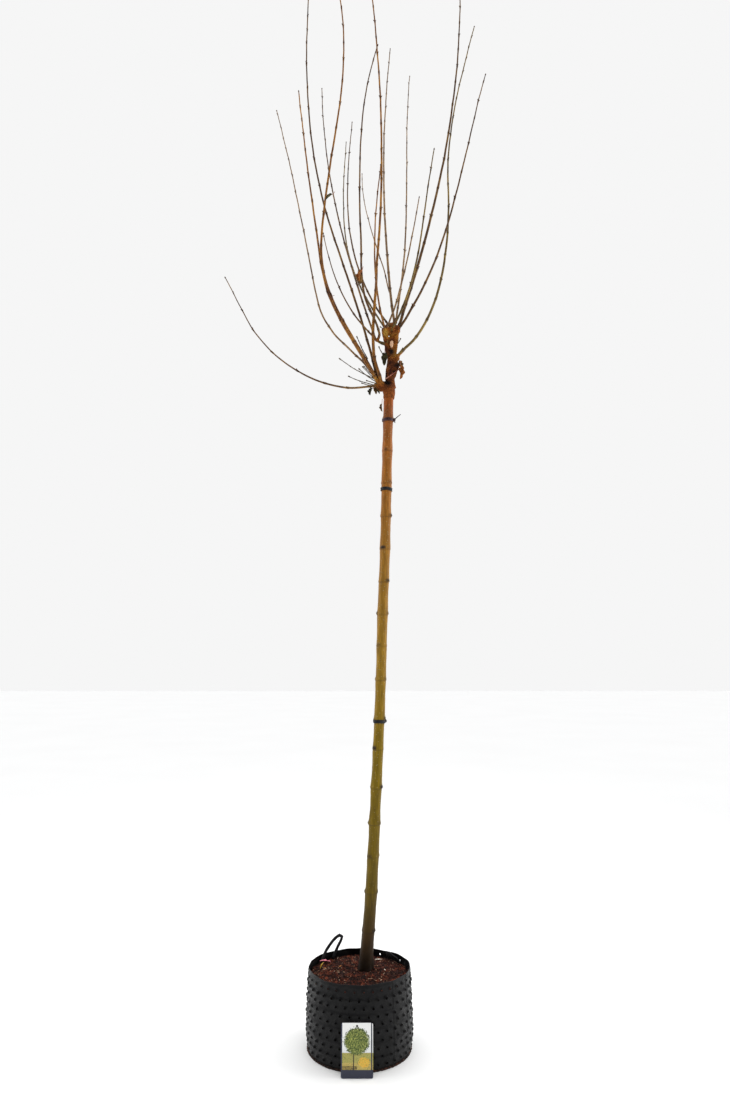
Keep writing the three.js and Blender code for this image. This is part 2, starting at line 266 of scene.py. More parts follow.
def even_line(line, step):
    """A line resampled to even steps on a smooth curve: points and radii as arrays."""
    points = np.array([p for p, _ in line])
    radii = np.array([r for _, r in line])
    radii[-1] = radii[-2] * 0.9
    run = np.concatenate([[0], np.cumsum(np.linalg.norm(np.diff(points, axis=0), axis=1))])
    slopes = np.gradient(points, run, axis=0)
    count = max(4, int(run[-1] / step))
    places = np.linspace(0, run[-1], count)
    index = np.clip(np.searchsorted(run, places, side="right") - 1, 0, len(run) - 2)
    width = (run[index + 1] - run[index])[:, None]
    t = ((places - run[index]) / width[:, 0])[:, None]
    smooth = ((2 * t**3 - 3 * t**2 + 1) * points[index] + (t**3 - 2 * t**2 + t) * width * slopes[index]
              + (-2 * t**3 + 3 * t**2) * points[index + 1] + (t**3 - t**2) * width * slopes[index + 1])
    return smooth, np.interp(places, run, radii), places


def line_frames(points):
    """Directions along a line, and two steady directions across it, at each point."""
    along = np.gradient(points, axis=0)
    along /= np.linalg.norm(along, axis=1)[:, None]
    start = np.cross(along[0], [0.0, 1.0, 0.0])
    across = [start / np.linalg.norm(start)]
    for direction in along[1:]:
        turned = across[-1] - direction * np.dot(across[-1], direction)
        across.append(turned / np.linalg.norm(turned))
    across = np.array(across)
    return along, across, np.cross(along, across)


def skin(points, radii, sides, bulge=None, cap=0.6):
    """A closed tube round a line. bulge(ring, angle) adds to the radius; cap rounds the tip."""
    along, across, other = line_frames(points)
    angles = np.arange(sides) / sides * 2 * math.pi
    verts = []
    for i, (middle, radius) in enumerate(zip(points, radii)):
        for angle in angles:
            reach = radius + (bulge(i, angle) if bulge else 0.0)
            verts.append(middle + reach * (math.cos(angle) * across[i] + math.sin(angle) * other[i]))
    rings = len(points)
    foot, tip = len(verts), len(verts) + 1
    verts.append(points[0])
    verts.append(points[-1] + along[-1] * radii[-1] * cap)
    faces = wall_faces(rings, sides) + pole_faces(foot, tip, (rings - 1) * sides, sides)
    return verts, faces


# ------------------------------------------------------------------ camera, lights and floor
def make_stage():
    """A pale floor and soft light from both sides, as in a white-walled hall."""
    floor_material, tree, place = new_material("matt_white_floor_paint")
    cloud = add(tree, "ShaderNodeTexNoise", {"Vector": place, "Scale": 0.8, "Detail": 2.0})
    tint = add(tree, "ShaderNodeValToRGB", {"Fac": cloud.outputs["Fac"]},
               stops=[(0.3, "eeeeed"), (0.7, "f0f0ef")])
    finish_material(tree, Base_Color=tint.outputs["Color"], Roughness=0.7)
    size = 30.0
    floor = mesh_object("floor", [(-size, -size, 0), (size, -size, 0), (size, size, 0), (-size, size, 0)],
                        [(0, 1, 2, 3)], [floor_material], smooth=False)
    world = bpy.data.worlds.new("white_hall")
    world.use_nodes = True
    tree = world.node_tree
    tree.nodes.clear()
    seen = add(tree, "ShaderNodeBackground", {"Color": linear("f6f6f6"), "Strength": 1.0})
    # the hall behind the viewer is darker than the white wall behind the tree
    way = add(tree, "ShaderNodeTexCoord").outputs["Generated"]
    parts = add(tree, "ShaderNodeSeparateXYZ", {"Vector": way})
    glow = add(tree, "ShaderNodeMapRange", {"Value": parts.outputs["Y"], "From Min": -0.9,
                                            "From Max": 0.6, "To Min": 0.04, "To Max": 0.66})
    lit = add(tree, "ShaderNodeBackground", {"Color": linear("f4f5f8"),
                                             "Strength": glow.outputs["Result"]})
    eye = add(tree, "ShaderNodeLightPath").outputs["Is Camera Ray"]
    mixed = add(tree, "ShaderNodeMixShader", {0: eye, 1: lit.outputs[0], 2: seen.outputs[0]})
    add(tree, "ShaderNodeOutputWorld", {"Surface": mixed.outputs[0]})
    bpy.context.scene.world = world
    skylight = bpy.data.lights.new("roof_light", "SUN")
    skylight.energy = 2.4
    skylight.angle = math.radians(120)
    lamps = [("roof_light", (0, 0.6, 7.0), skylight)]
    for name, place, size, power in (
            ("softbox_left", (-3.2, 0.7, 2.6), 3.4, 60),
            ("softbox_right", (3.4, 0.5, 2.6), 3.4, 95),
            ("softbox_front", (1.6, -4.2, 3.6), 1.4, 22)):
        light = bpy.data.lights.new(name, "AREA")
        light.size = size
        light.energy = power
        lamps.append((name, place, light))
    for name, place, light in lamps:
        lamp = bpy.data.objects.new(name, light)
        lamp.location = place
        lamp.rotation_euler = (Vector((0.1, 0, 1.9)) - Vector(place)).to_track_quat("-Z", "Y").to_euler()
        bpy.context.scene.collection.objects.link(lamp)


CAMERA_PLACE = (0.021, -3.2, 1.4587)    # eye height, 3.2 m in front of the pot
CAMERA_TILT = 7.77                      # degrees above level
CAMERA_LENS = 25.97


def make_camera():
    """A person's view of the whole tree, tilted up a little."""
    data = bpy.data.cameras.new("camera")
    data.lens = CAMERA_LENS
    camera = bpy.data.objects.new("camera", data)
    camera.location = CAMERA_PLACE
    camera.rotation_euler = (math.radians(90 + CAMERA_TILT), 0, 0)
    bpy.context.scene.collection.objects.link(camera)
    bpy.context.scene.camera = camera


# ------------------------------------------------------------------ materials
STEM_TINTS = [                          # share of the stem's height, and the bark's colour there
    (0.00, "160d06"), (0.05, "3e2908"), (0.15, "725e06"), (0.35, "887008"), (0.50, "a07c22"),
    (0.70, "a47426"), (0.90, "a86422"), (0.95, "8c5028"), (1.00, "ac5810"),
]


def stem_bark():
    """Smooth young living bark: green-olive below, tan above, thin enough to look waxy."""
    material, tree, place = new_material("young_stem_bark")
    height = add(tree, "ShaderNodeSeparateXYZ", {"Vector": place}).outputs["Z"]
    low, high = (corner.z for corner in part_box("stem"))
    mottle = add(tree, "ShaderNodeTexNoise", {"Vector": place, "Scale": 9.0, "Detail": 3.0})
    shift = add(tree, "ShaderNodeMath", {0: mottle.outputs["Fac"], 1: 0.10, 2: height},
                operation="MULTIPLY_ADD")
    share = add(tree, "ShaderNodeMapRange", {"Value": shift.outputs[0], "From Min": low + 0.05,
                                             "From Max": high + 0.05})
    base = add(tree, "ShaderNodeValToRGB", {"Fac": share.outputs["Result"]},
               stops=STEM_TINTS)
    # long streaks up the stem, 5 to 8 mm wide
    stretched = add(tree, "ShaderNodeMapping", {"Vector": place, "Scale": (1.0, 1.0, 0.12)})
    streak = add(tree, "ShaderNodeTexNoise", {"Vector": stretched.outputs[0], "Scale": 150.0,
                                              "Detail": 4.0, "Roughness": 0.6})
    streaks = add(tree, "ShaderNodeValToRGB", {"Fac": streak.outputs["Fac"]},
                  stops=[(0.32, "8a7f6c"), (0.5, "c4c0b4"), (0.68, "fff6df")])
    tinted = add(tree, "ShaderNodeMix",
                 {"Factor": 0.6, 6: base.outputs["Color"], 7: streaks.outputs["Color"]},
                 data_type="RGBA", blend_type="MULTIPLY")
    # lenticels: pale corky dots about 2 mm across, wider than tall
    dots = add(tree, "ShaderNodeMapping", {"Vector": place, "Scale": (1.0, 1.0, 1.6)})
    cells = add(tree, "ShaderNodeTexVoronoi", {"Vector": dots.outputs[0], "Scale": 75.0})
    dot = add(tree, "ShaderNodeMapRange", {"Value": cells.outputs["Distance"], "From Min": 0.13,
                                           "From Max": 0.2, "To Min": 1.0, "To Max": 0.0})
    clean = add(tree, "ShaderNodeMapRange", {"Value": height, "From Min": 0.45, "From Max": 1.0,
                                             "To Min": 0.0, "To Max": 0.7})
    dotted = add(tree, "ShaderNodeMath", {0: dot.outputs["Result"], 1: clean.outputs["Result"]},
                 operation="MULTIPLY")
    # dark weathering in and round the joints, from the mesh's own attribute
    scar = add(tree, "ShaderNodeAttribute", attribute_name="scar").outputs["Fac"]
    spotted = add(tree, "ShaderNodeMix",
                  {"Factor": dotted.outputs[0], 6: tinted.outputs[2], 7: linear("a3926b")},
                  data_type="RGBA")
    darkened = add(tree, "ShaderNodeMix", {"Factor": scar, 6: spotted.outputs[2], 7: linear("2c2013")},
               data_type="RGBA")
    grain = add(tree, "ShaderNodeMath", {0: streak.outputs["Fac"], 1: dot.outputs["Result"]},
                operation="ADD")
    bump = add(tree, "ShaderNodeBump", {"Strength": 0.5, "Distance": 0.0012,
                                        "Height": grain.outputs[0]})
    finish_material(tree, Base_Color=darkened.outputs[2], Roughness=0.55, Specular_IOR_Level=0.2,
                    Normal=bump.outputs["Normal"])
    return material


def shoot_bark(name, dark, mid, pale):
    """One-year bark: smooth and slightly glossy, with fine streaks along the shoot."""
    material, tree, place = new_material(name)
    stretched = add(tree, "ShaderNodeMapping", {"Vector": place, "Scale": (1.0, 1.0, 0.15)})
    streak = add(tree, "ShaderNodeTexNoise", {"Vector": stretched.outputs[0], "Scale": 220.0,
                                              "Detail": 3.0})
    patch = add(tree, "ShaderNodeTexNoise", {"Vector": place, "Scale": 14.0, "Detail": 2.0})
    blend = add(tree, "ShaderNodeMath", {0: patch.outputs["Fac"], 1: 0.55, 2: 0.0},
                operation="MULTIPLY_ADD")
    both = add(tree, "ShaderNodeMath", {0: streak.outputs["Fac"], 1: 0.45, 2: blend.outputs[0]},
               operation="MULTIPLY_ADD")
    tint = add(tree, "ShaderNodeValToRGB", {"Fac": both.outputs[0]},
               stops=[(0.36, dark), (0.5, mid), (0.64, pale)])
    scar = add(tree, "ShaderNodeAttribute", attribute_name="scar").outputs["Fac"]
    darkened = add(tree, "ShaderNodeMix",
               {"Factor": scar, 6: tint.outputs["Color"], 7: linear("23170f")}, data_type="RGBA")
    bump = add(tree, "ShaderNodeBump", {"Strength": 0.35, "Distance": 0.0008,
                                        "Height": streak.outputs["Fac"]})
    finish_material(tree, Base_Color=darkened.outputs[2], Roughness=0.48, Specular_IOR_Level=0.25,
                    Normal=bump.outputs["Normal"])
    return material


def graft_bark():
    """Old healed bark of the graft: cracked, with painted shade in the cracks and hollows, rust-brown on the
    ridges.
    """
    material, tree, place = new_material("healed_graft_bark")
    cracks = add(tree, "ShaderNodeTexVoronoi", {"Vector": place, "Scale": 95.0},
                 feature="DISTANCE_TO_EDGE")
    rough = add(tree, "ShaderNodeTexNoise", {"Vector": place, "Scale": 60.0, "Detail": 6.0,
                                             "Roughness": 0.65})
    patch = add(tree, "ShaderNodeTexNoise", {"Vector": place, "Scale": 22.0, "Detail": 3.0})
    tint = add(tree, "ShaderNodeValToRGB", {"Fac": patch.outputs["Fac"]},
               stops=[(0.30, "3c180a"), (0.44, "6e3814"), (0.56, "9a5c1e"), (0.70, "b08838")])
    split = add(tree, "ShaderNodeMapRange", {"Value": cracks.outputs["Distance"], "From Min": 0.0,
                                             "From Max": 0.12, "To Min": 0.55, "To Max": 1.0})
    # painted shade in the head's pockets and pits, read from the mesh's own attribute
    hollow_shade = add(tree, "ShaderNodeAttribute", attribute_name="hollow_shade").outputs["Fac"]
    # the bark runs on from the stem's below the graft
    parts = add(tree, "ShaderNodeSeparateXYZ", {"Vector": place})
    union = add(tree, "ShaderNodeMapRange", {"Value": parts.outputs["Z"], "From Min": 2.535,
                                             "From Max": 2.595})
    joined_up = add(tree, "ShaderNodeMix",
                    {"Factor": union.outputs["Result"], 6: linear("86471a"), 7: tint.outputs["Color"]},
                    data_type="RGBA")
    # painted shade: the pockets and pits are mixed towards near black
    darkened = add(tree, "ShaderNodeMix",
               {"Factor": hollow_shade, 6: joined_up.outputs[2], 7: linear("160a07")}, data_type="RGBA")
    # painted shade in the cracks: the colour is darkened towards the crack lines
    lit = add(tree, "ShaderNodeMix", {"Factor": 1.0, 6: darkened.outputs[2], 7: split.outputs["Result"]},
              data_type="RGBA", blend_type="MULTIPLY")
    height = add(tree, "ShaderNodeMath", {0: rough.outputs["Fac"], 1: split.outputs["Result"]},
                 operation="ADD")
    bump = add(tree, "ShaderNodeBump", {"Strength": 0.9, "Distance": 0.002,
                                        "Height": height.outputs[0]})
    finish_material(tree, Base_Color=lit.outputs[2], Roughness=0.8, Specular_IOR_Level=0.15,
                    Normal=bump.outputs["Normal"])
    return material


def plain_material(name, colours, scale, roughness, bump_height=0.0005, strength=0.4):
    """A finish whose colour drifts through a few tints, with fine relief of the same scale."""
    material, tree, place = new_material(name)
    drift = add(tree, "ShaderNodeTexNoise", {"Vector": place, "Scale": scale, "Detail": 4.0})
    spread = [0.34 + 0.32 * i / max(1, len(colours) - 1) for i in range(len(colours))]
    tint = add(tree, "ShaderNodeValToRGB", {"Fac": drift.outputs["Fac"]},
               stops=list(zip(spread, colours)))
    fine = add(tree, "ShaderNodeTexNoise", {"Vector": place, "Scale": scale * 6, "Detail": 3.0})
    bump = add(tree, "ShaderNodeBump", {"Strength": strength, "Distance": bump_height,
                                        "Height": fine.outputs["Fac"]})
    finish_material(tree, Base_Color=tint.outputs["Color"], Roughness=roughness,
                    Specular_IOR_Level=0.2, Normal=bump.outputs["Normal"])
    return material


def bag_film():
    """Black woven polythene: dull black with a grey bloom, and a weave of 2.5 mm tapes."""
    material, tree, place = new_material("woven_polythene_film")
    parts = add(tree, "ShaderNodeSeparateXYZ", {"Vector": place})
    turn = add(tree, "ShaderNodeMath", {0: parts.outputs["Y"], 1: parts.outputs["X"]},
               operation="ARCTAN2")
    tapes_round = 2 * math.pi * 200 / 2.5
    warp = add(tree, "ShaderNodeMath", {0: turn.outputs[0], 1: tapes_round}, operation="MULTIPLY")
    warp_wave = add(tree, "ShaderNodeMath", {0: warp.outputs[0]}, operation="SINE")
    weft = add(tree, "ShaderNodeMath", {0: parts.outputs["Z"], 1: 2 * math.pi / (2.5 * MM)},
               operation="MULTIPLY")
    weft_wave = add(tree, "ShaderNodeMath", {0: weft.outputs[0]}, operation="SINE")
    weave = add(tree, "ShaderNodeMath", {0: warp_wave.outputs[0], 1: weft_wave.outputs[0]},
                operation="MULTIPLY")
    crease = add(tree, "ShaderNodeTexNoise", {"Vector": place, "Scale": 16.0, "Detail": 5.0,
                                              "Roughness": 0.55, "Distortion": 0.8})
    dust = add(tree, "ShaderNodeTexNoise", {"Vector": place, "Scale": 45.0, "Detail": 5.0})
    tint = add(tree, "ShaderNodeValToRGB", {"Fac": dust.outputs["Fac"]},
               stops=[(0.35, "030304"), (0.55, "060607"), (0.74, "11100e")])
    height = add(tree, "ShaderNodeMath", {0: crease.outputs["Fac"], 1: 4.0, 2: 0.0},
                 operation="MULTIPLY_ADD")
    relief = add(tree, "ShaderNodeMath", {0: weave.outputs[0], 1: 0.12, 2: height.outputs[0]},
                 operation="MULTIPLY_ADD")
    bump = add(tree, "ShaderNodeBump", {"Strength": 0.6, "Distance": 0.002,
                                        "Height": relief.outputs[0]})
    gloss = add(tree, "ShaderNodeMapRange", {"Value": dust.outputs["Fac"], "To Min": 0.3,
                                             "To Max": 0.55})
    finish_material(tree, Base_Color=tint.outputs["Color"], Roughness=gloss.outputs["Result"],
                    Specular_IOR_Level=0.18, Normal=bump.outputs["Normal"])
    return material


# ------------------------------------------------------------------ stem
STEM_SIDES = 48
STEM_STEP = 4 * MM
JOINT_STEP = 0.135                      # between the stem's joints, which start at the soil


def make_stem(material):
    """The clear stem with its swollen joints, scars and flared foot. Gives back its rings."""
    rows = level_rings("stem")
    low, high = rows[0, 0], rows[-1, 0]
    count = int((high - low) / STEM_STEP)
    heights = np.linspace(low, high, count)
    xs = np.interp(heights, rows[:, 0], rows[:, 1])
    kernel = np.ones(15) / 15
    xs[7:-7] = np.convolve(xs, kernel, "valid")
    radii = np.interp(heights, rows[:, 0], rows[:, 3])
    rng = np.random.default_rng(7)
    joints = low + JOINT_STEP * np.arange(1, 17) + rng.uniform(-0.012, 0.012, 16)
    points, scars = [], []
    for i, height in enumerate(heights):
        nearest = int(np.argmin(abs(joints - height)))
        off = height - joints[nearest]
        facing = (nearest % 3 == 2) * math.pi / 2 - 0.5 + 0.3 * math.sin(nearest * 2.3)
        above_soil = height - low
        for side in range(STEM_SIDES):
            angle = side / STEM_SIDES * 2 * math.pi
            x, y = math.cos(angle), math.sin(angle)
            ridge = 0.8 * MM * math.exp(-(off / (3.6 * MM)) ** 2)
            groove = -0.5 * MM * math.exp(-((off + 8 * MM) / (3 * MM)) ** 2)
            side_on = math.cos(angle - facing)
            strong = 1.0 if (side_on > 0) == (nearest % 2 == 0) else 0.55
            scar_side = strong * max(abs(side_on) - 0.74, 0) / 0.26
            knob = 4.2 * MM * scar_side ** 1.3 * math.exp(-((off - 3 * MM) / (7.0 * MM)) ** 2)
            lobes = 3.0 * MM * math.exp(-above_soil / 0.03) * math.sin(5 * angle + 1.0)
            spot = Vector((x * 0.9, y * 0.9, height * 9))
            wave = 1.1 * MM * noise.noise(spot * 1.7) + 0.5 * MM * noise.noise(spot * 5.1)
            rough_foot = 2.2 * MM * noise.noise(Vector((x * 3, y * 3, height * 60))) * math.exp(
                -above_soil / 0.06)
            reach = radii[i] + ridge + groove + knob + lobes + wave + rough_foot
            points.append((xs[i] + reach * x, reach * y, height))
            ring_mark = 0.4 * math.exp(-((off + 4 * MM) / (2.2 * MM)) ** 2)
            knob_mark = 1.6 * scar_side ** 1.5 * math.exp(-((off - 4 * MM) / (6.0 * MM)) ** 2)
            speckle = 0.5 + 0.5 * noise.noise(Vector((x * 2, y * 2, height * 40)))
            scars.append(min(1.0, (ring_mark + knob_mark) * (0.45 + speckle)))
    points += [(xs[0], 0, low), (xs[-1], 0, high)]
    scars += [0, 0]
    faces = wall_faces(count, STEM_SIDES) + pole_faces(
        len(points) - 2, len(points) - 1, (count - 1) * STEM_SIDES, STEM_SIDES)
    stem = mesh_object("stem_bark", points, faces, [material])
    stem.data.attributes.new("scar", "FLOAT", "POINT").data.foreach_set("value", scars)
    give(stem, "stem_bark", "stem")
    return rows


# ------------------------------------------------------------------ copies by Geometry Nodes
def input_sockets(tree, **kinds):
    """The named inputs of a new tree for copies, by name."""
    for label, kind in kinds.items():
        tree.interface.new_socket(label, in_out="INPUT", socket_type=f"NodeSocket{kind}")
    tree.interface.new_socket("Copies", in_out="OUTPUT", socket_type="NodeSocketGeometry")
    return add(tree, "NodeGroupInput").outputs


def finish_copies(tree, copies):
    """Ends a tree for copies: makes them real and gives them their finish."""
    real = add(tree, "GeometryNodeRealizeInstances", {"Geometry": copies.outputs["Instances"]})
    painted = add(tree, "GeometryNodeSetMaterial", {0: real.outputs[0]})
    tree.links.new(tree.nodes["Group Input"].outputs["Finish"], painted.inputs["Material"])
    add(tree, "NodeGroupOutput", {"Copies": painted.outputs[0]})
    return tree


def run_copies(carrier, tree, slot, finish, **inputs):
    """Runs a tree on its carrier, and leaves the copies as the carrier's own plain mesh."""
    modifier = carrier.modifiers.new("copies", "NODES")
    modifier.node_group = tree
    inputs["Finish"] = finish
    for item in tree.interface.items_tree:
        if item.in_out == "INPUT" and item.name in inputs:
            modifier[item.identifier] = inputs[item.name]
    bake_modifiers(carrier)
    carrier.data.materials.clear()
    carrier.data.materials.append(finish)
    bpy.data.objects.remove(inputs["Copy"])
    give(carrier, slot)


def repeat(name, copy, places, finish, slot):
    """One copy at each place: a spot, the way its Z axis points, and its size each way."""
    tree = bpy.data.node_groups.new(name, "GeometryNodeTree")
    given = input_sockets(tree, Points="Geometry", Copy="Object", Finish="Material")
    shape = add(tree, "GeometryNodeObjectInfo", {"Object": given["Copy"]}).outputs["Geometry"]
    aim = add(tree, "GeometryNodeInputNamedAttribute", {"Name": "aim"}, data_type="FLOAT_VECTOR")
    size = add(tree, "GeometryNodeInputNamedAttribute", {"Name": "size"}, data_type="FLOAT_VECTOR")
    turn = add(tree, "FunctionNodeAlignRotationToVector", {"Vector": aim.outputs[0]}, axis="Z")
    finish_copies(tree, add(tree, "GeometryNodeInstanceOnPoints",
                            {"Points": given["Points"], "Instance": shape,
                             "Rotation": turn.outputs[0], "Scale": size.outputs[0]}))
    carrier = mesh_object(name, [tuple(place) for place, way, scale in places], [], [])
    for label, column in (("aim", 1), ("size", 2)):
        values = np.array([list(row[column]) for row in places], dtype=np.float32)
        carrier.data.attributes.new(label, "FLOAT_VECTOR", "POINT").data.foreach_set(
            "vector", values.ravel())
    run_copies(carrier, tree, slot, finish, Copy=copy)


# ------------------------------------------------------------------ shoots and buds
BUD_SLOT = "shoot_bark"
BRANCH_HEIGHT = 2.95                    # a shoot cut above here springs from another shoot
ROOTS = [                               # where shoots spring from: the knuckles, arm and limb
    spot_in("head_left_knuckle", 0.5, 0.5, 0.5), spot_in("head_upper_knuckle", 0.5, 0.5, 0.5),
    spot_in("head_right_arm", 0.8, 0.5, 0.9), spot_in("head_right_arm", 0.5, 0.5, 0.3),
    spot_in("shoot_cross_limb", 0.3, 0.5, 0.5), spot_in("head_left_fork", 0.5, 0.5, 0.7),
]


def bud_shape():
    """A pointed bud one unit long and wide: five rings of six, closed at both ends."""
    points = []
    profile = [(0.0, 0.55), (0.22, 0.95), (0.45, 1.0), (0.72, 0.66), (0.92, 0.2)]
    for up, out in profile:
        for side in range(6):
            angle = (side + up) / 6 * 2 * math.pi
            points.append((out / 2 * math.cos(angle), out / 2 * math.sin(angle), up))
    points.append((0, 0, 1))
    faces = wall_faces(len(profile), 6)
    for side in range(6):
        faces.append((30, 24 + side, 24 + (side + 1) % 6))
    faces.append(tuple(range(5, -1, -1)))
    return mesh_object("bud", points, faces, [])


def rooted(name, line, others):
    """A shoot's line carried on from where it is cut to the limb or shoot that it springs from."""
    foot, ahead = Vector(line[0][0]), Vector(line[1][0])
    near = ROOTS
    if foot.z > BRANCH_HEIGHT:
        near = [Vector(point) for other, row in others.items() if other != name
                for point, radius in even_pairs(row["line"])]
    root = min(near, key=lambda spot: (spot - foot).length)
    bend = foot - (ahead - foot).normalized() * (root - foot).length * 0.5
    early = []
    for share in (0.0, 0.25, 0.5, 0.75):
        spot = root.lerp(bend, share).lerp(bend.lerp(foot, share), share)
        early.append((spot, line[0][1] * (1.05 - 0.05 * share)))
    return early + list(line)


def even_pairs(line):
    """A line's even points, each with its radius."""
    points, radii, run = even_line(line, 10 * MM)
    return list(zip(points, radii))


def make_shoots(materials, bud_material):
    """Every shoot's tube with its joints, and all their buds joined into one piece."""
    # the shoots given the pale copy of the bark carry painted light: the glow of the bright backdrop round
    # the paler shoots, most of them at the back
    finish = {
        "shoot_centre_tall": "russet", "shoot_front_short": "russet", "shoot_left_3": "russet",
        "shoot_left_2": "russet", "shoot_cross_limb": "olive",
        "shoot_right_thick": "brown", "shoot_left_4": "brown", "shoot_cross_back": "brown",
        "shoot_cross_front": "brown", "shoot_front_left": "brown", "shoot_right_out": "brown",
        "shoot_right_sweep": "olive", "shoot_front_right_2": "olive", "shoot_back_1": "olive",
        "shoot_front_right_1": "backlit_pale", "shoot_back_2": "brown", "shoot_back_right": "backlit_pale",
        "shoot_back_tall": "backlit_pale", "shoot_back_side": "backlit_pale", "shoot_left_1": "backlit_pale",
        "shoot_low_left": "brown",
    }
    buds = []
    feet = {}
    lines = shoot_lines()
    for number, (name, shoot) in enumerate(sorted(lines.items())):
        rng = np.random.default_rng(100 + number)
        line = rooted(name, shoot["line"], lines)
        points, radii, run = even_line(line, 5 * MM)
        feet[name] = (points[:14].copy(), radii[:14].copy())
        length = run[-1]
        joints = []
        place = 0.05
        while place < length - 0.01:
            joints.append(place)
            share = place / length
            place += rng.uniform(0.055, 0.085) + 0.06 * math.sin(math.pi * min(1, share * 1.2))
        joints = np.array(joints)
        along, across, other = line_frames(points)
        turn0 = rng.uniform(0, math.pi)
        # each joint bends the shoot a little, first to one side and then to the other
        sway = np.zeros((len(points), 2))
        for k, joint in enumerate(joints):
            reach = np.exp(-((run - joint) / 0.03) ** 2)
            side = (-1) ** k * rng.uniform(0.4, 1.3) * MM
            facing = turn0 + k * math.pi / 2
            sway += reach[:, None] * side * np.array([math.cos(facing), math.sin(facing)])
        points = points + sway[:, :1] * across + sway[:, 1:] * other
        swell = np.zeros(len(points))
        scar = np.zeros(len(points))
        for joint in joints:
            off = run - joint
            swell += (0.16 * radii + 0.5 * MM) * np.exp(-(off / (5.5 * MM)) ** 2)
            scar += 0.75 * np.exp(-((off + 1 * MM) / (3.5 * MM)) ** 2)
        flare = 0.35 * radii[0] * np.exp(-run / 0.02)
        sides = 12 if radii[0] > 5 * MM else 10

        def bulge(i, angle, swell=swell, flare=flare, seed=number):
            grain = noise.noise(Vector((math.cos(angle) * 1.5, math.sin(angle) * 1.5,
                                        i * 0.35 + seed * 9)))
            return swell[i] + flare[i] + 0.25 * MM * grain

        verts, faces = skin(points, radii, sides, bulge)
        made = mesh_object(f"{name}_limb", verts, faces, [materials[finish[name]]])
        marks = np.repeat(np.clip(scar, 0, 1), sides).tolist() + [0.3, 0.6]
        made.data.attributes.new("scar", "FLOAT", "POINT").data.foreach_set("value", marks)
        give(made, "shoot_bark", *shoot["nodes"])
        if name == "shoot_cross_limb":
            continue
        for k, joint in enumerate(joints):
            i = int(np.searchsorted(run, joint))
            facing = turn0 + k * math.pi / 2
            for half in (0, math.pi):
                if rng.random() < 0.12:
                    continue
                out = math.cos(facing + half) * across[i] + math.sin(facing + half) * other[i]
                lean = rng.uniform(0.45, 0.95)
                direction = along[i] + out * lean
                size = rng.uniform(6.0, 10.5) * MM * (0.8 + 0.3 * (1 - joint / length))
                foot = points[i] + out * radii[i] * 0.75
                buds.append((foot, direction, (size * 0.46, size * 0.46, size)))
        tip_size = 9 * MM
        buds.append((points[-1], along[-1], (tip_size * 0.5, tip_size * 0.5, tip_size)))
        for half in (-1, 1):
            direction = along[-1] + half * 0.5 * across[-1]
            buds.append((points[-1], direction, (tip_size * 0.36, tip_size * 0.36, tip_size * 0.7)))
    repeat("winter_buds", bud_shape(), buds, bud_material, BUD_SLOT)
    return feet


# ------------------------------------------------------------------ grafted head
HEAD_NODES = ["head_centre_limb", "head_left_fork", "head_right_fork", "head_right_arm",
              "head_cut_stub", "head_left_knuckle", "head_upper_knuckle"]
HEAD_VOXEL = 1.7 * MM
# the pockets are pressed into the skin, and their darkness is painted shade
HOLLOWS = [                             # dark pockets of the head: node, shares of its box, reach in mm
    ("head_cut_stub", (0.5, 0.0, 0.2), 18), ("head_right_arm", (0.7, 0.0, 0.1), 17),
    ("head_upper_knuckle", (0.5, 0.0, 0.1), 10), ("head_left_knuckle", (0.8, 0.3, 0.8), 12),
    ("head_centre_limb", (0.4, 0.0, 0.1), 13), ("head_centre_limb", (1.0, 0.2, 0.4), 10),
    ("head_upper_knuckle", (0.3, 0.1, 0.6), 8),
]


HEAD_LUMPS = [                          # node, shares of its box, and half sizes in mm
    ("head_cut_stub", (0.5, 1.0, 0.8), (14, 11, 50)),           # fills the fork
    ("head_centre_limb", (0.5, 0.5, 0.2), (20, 19, 40)),        # joins the knuckle to the limb
    ("head_right_arm", (0.6, 0.2, 0.1), (11, 9, 14)),
    ("head_right_arm", (0.5, 0.1, 0.0), (9, 8, 11)),
    ("head_right_arm", (0.1, 0.5, 0.1), (15, 14, 50)),          # the arm's healed foot
    ("head_right_arm", (0.5, 0.1, 0.3), (11, 9, 12)),
    ("head_upper_knuckle", (0.1, 0.2, 0.2), (14, 12, 16)),
    ("head_upper_knuckle", (0.9, 0.3, 0.4), (13, 12, 18)),
    ("head_upper_knuckle", (0.2, 0.8, 0.6), (16, 12, 16)),
    ("head_upper_knuckle", (0.8, 0.8, 0.2), (14, 12, 16)),
    ("head_left_knuckle", (0.9, 0.4, 0.1), (16, 18, 20)),       # swelling over the stem's top
    ("head_centre_limb", (0.3, 0.0, 0.4), (8, 7, 22)),
]


def lumpy_ball(low, high, seed):
    """A swelling that fills a box, as rings from pole to pole."""
    middle, half = (low + high) / 2, (high - low) / 2
    points = []
    rings, sides = 14, 20
    for ring in range(1, rings):
        tilt = ring / rings * math.pi
        for side in range(sides):
            angle = side / sides * 2 * math.pi
            way = Vector((math.sin(tilt) * math.cos(angle), math.sin(tilt) * math.sin(angle),
                          -math.cos(tilt)))
            lump = 1 + 0.16 * noise.noise(way * 2.2 + Vector((seed, 0, 0)))
            points.append(middle + Vector([w * h * lump for w, h in zip(way, half)]))
    points += [middle - Vector((0, 0, half.z)), middle + Vector((0, 0, half.z))]
    faces = wall_faces(rings - 1, sides) + pole_faces(
        len(points) - 2, len(points) - 1, (rings - 2) * sides, sides)
    return points, faces


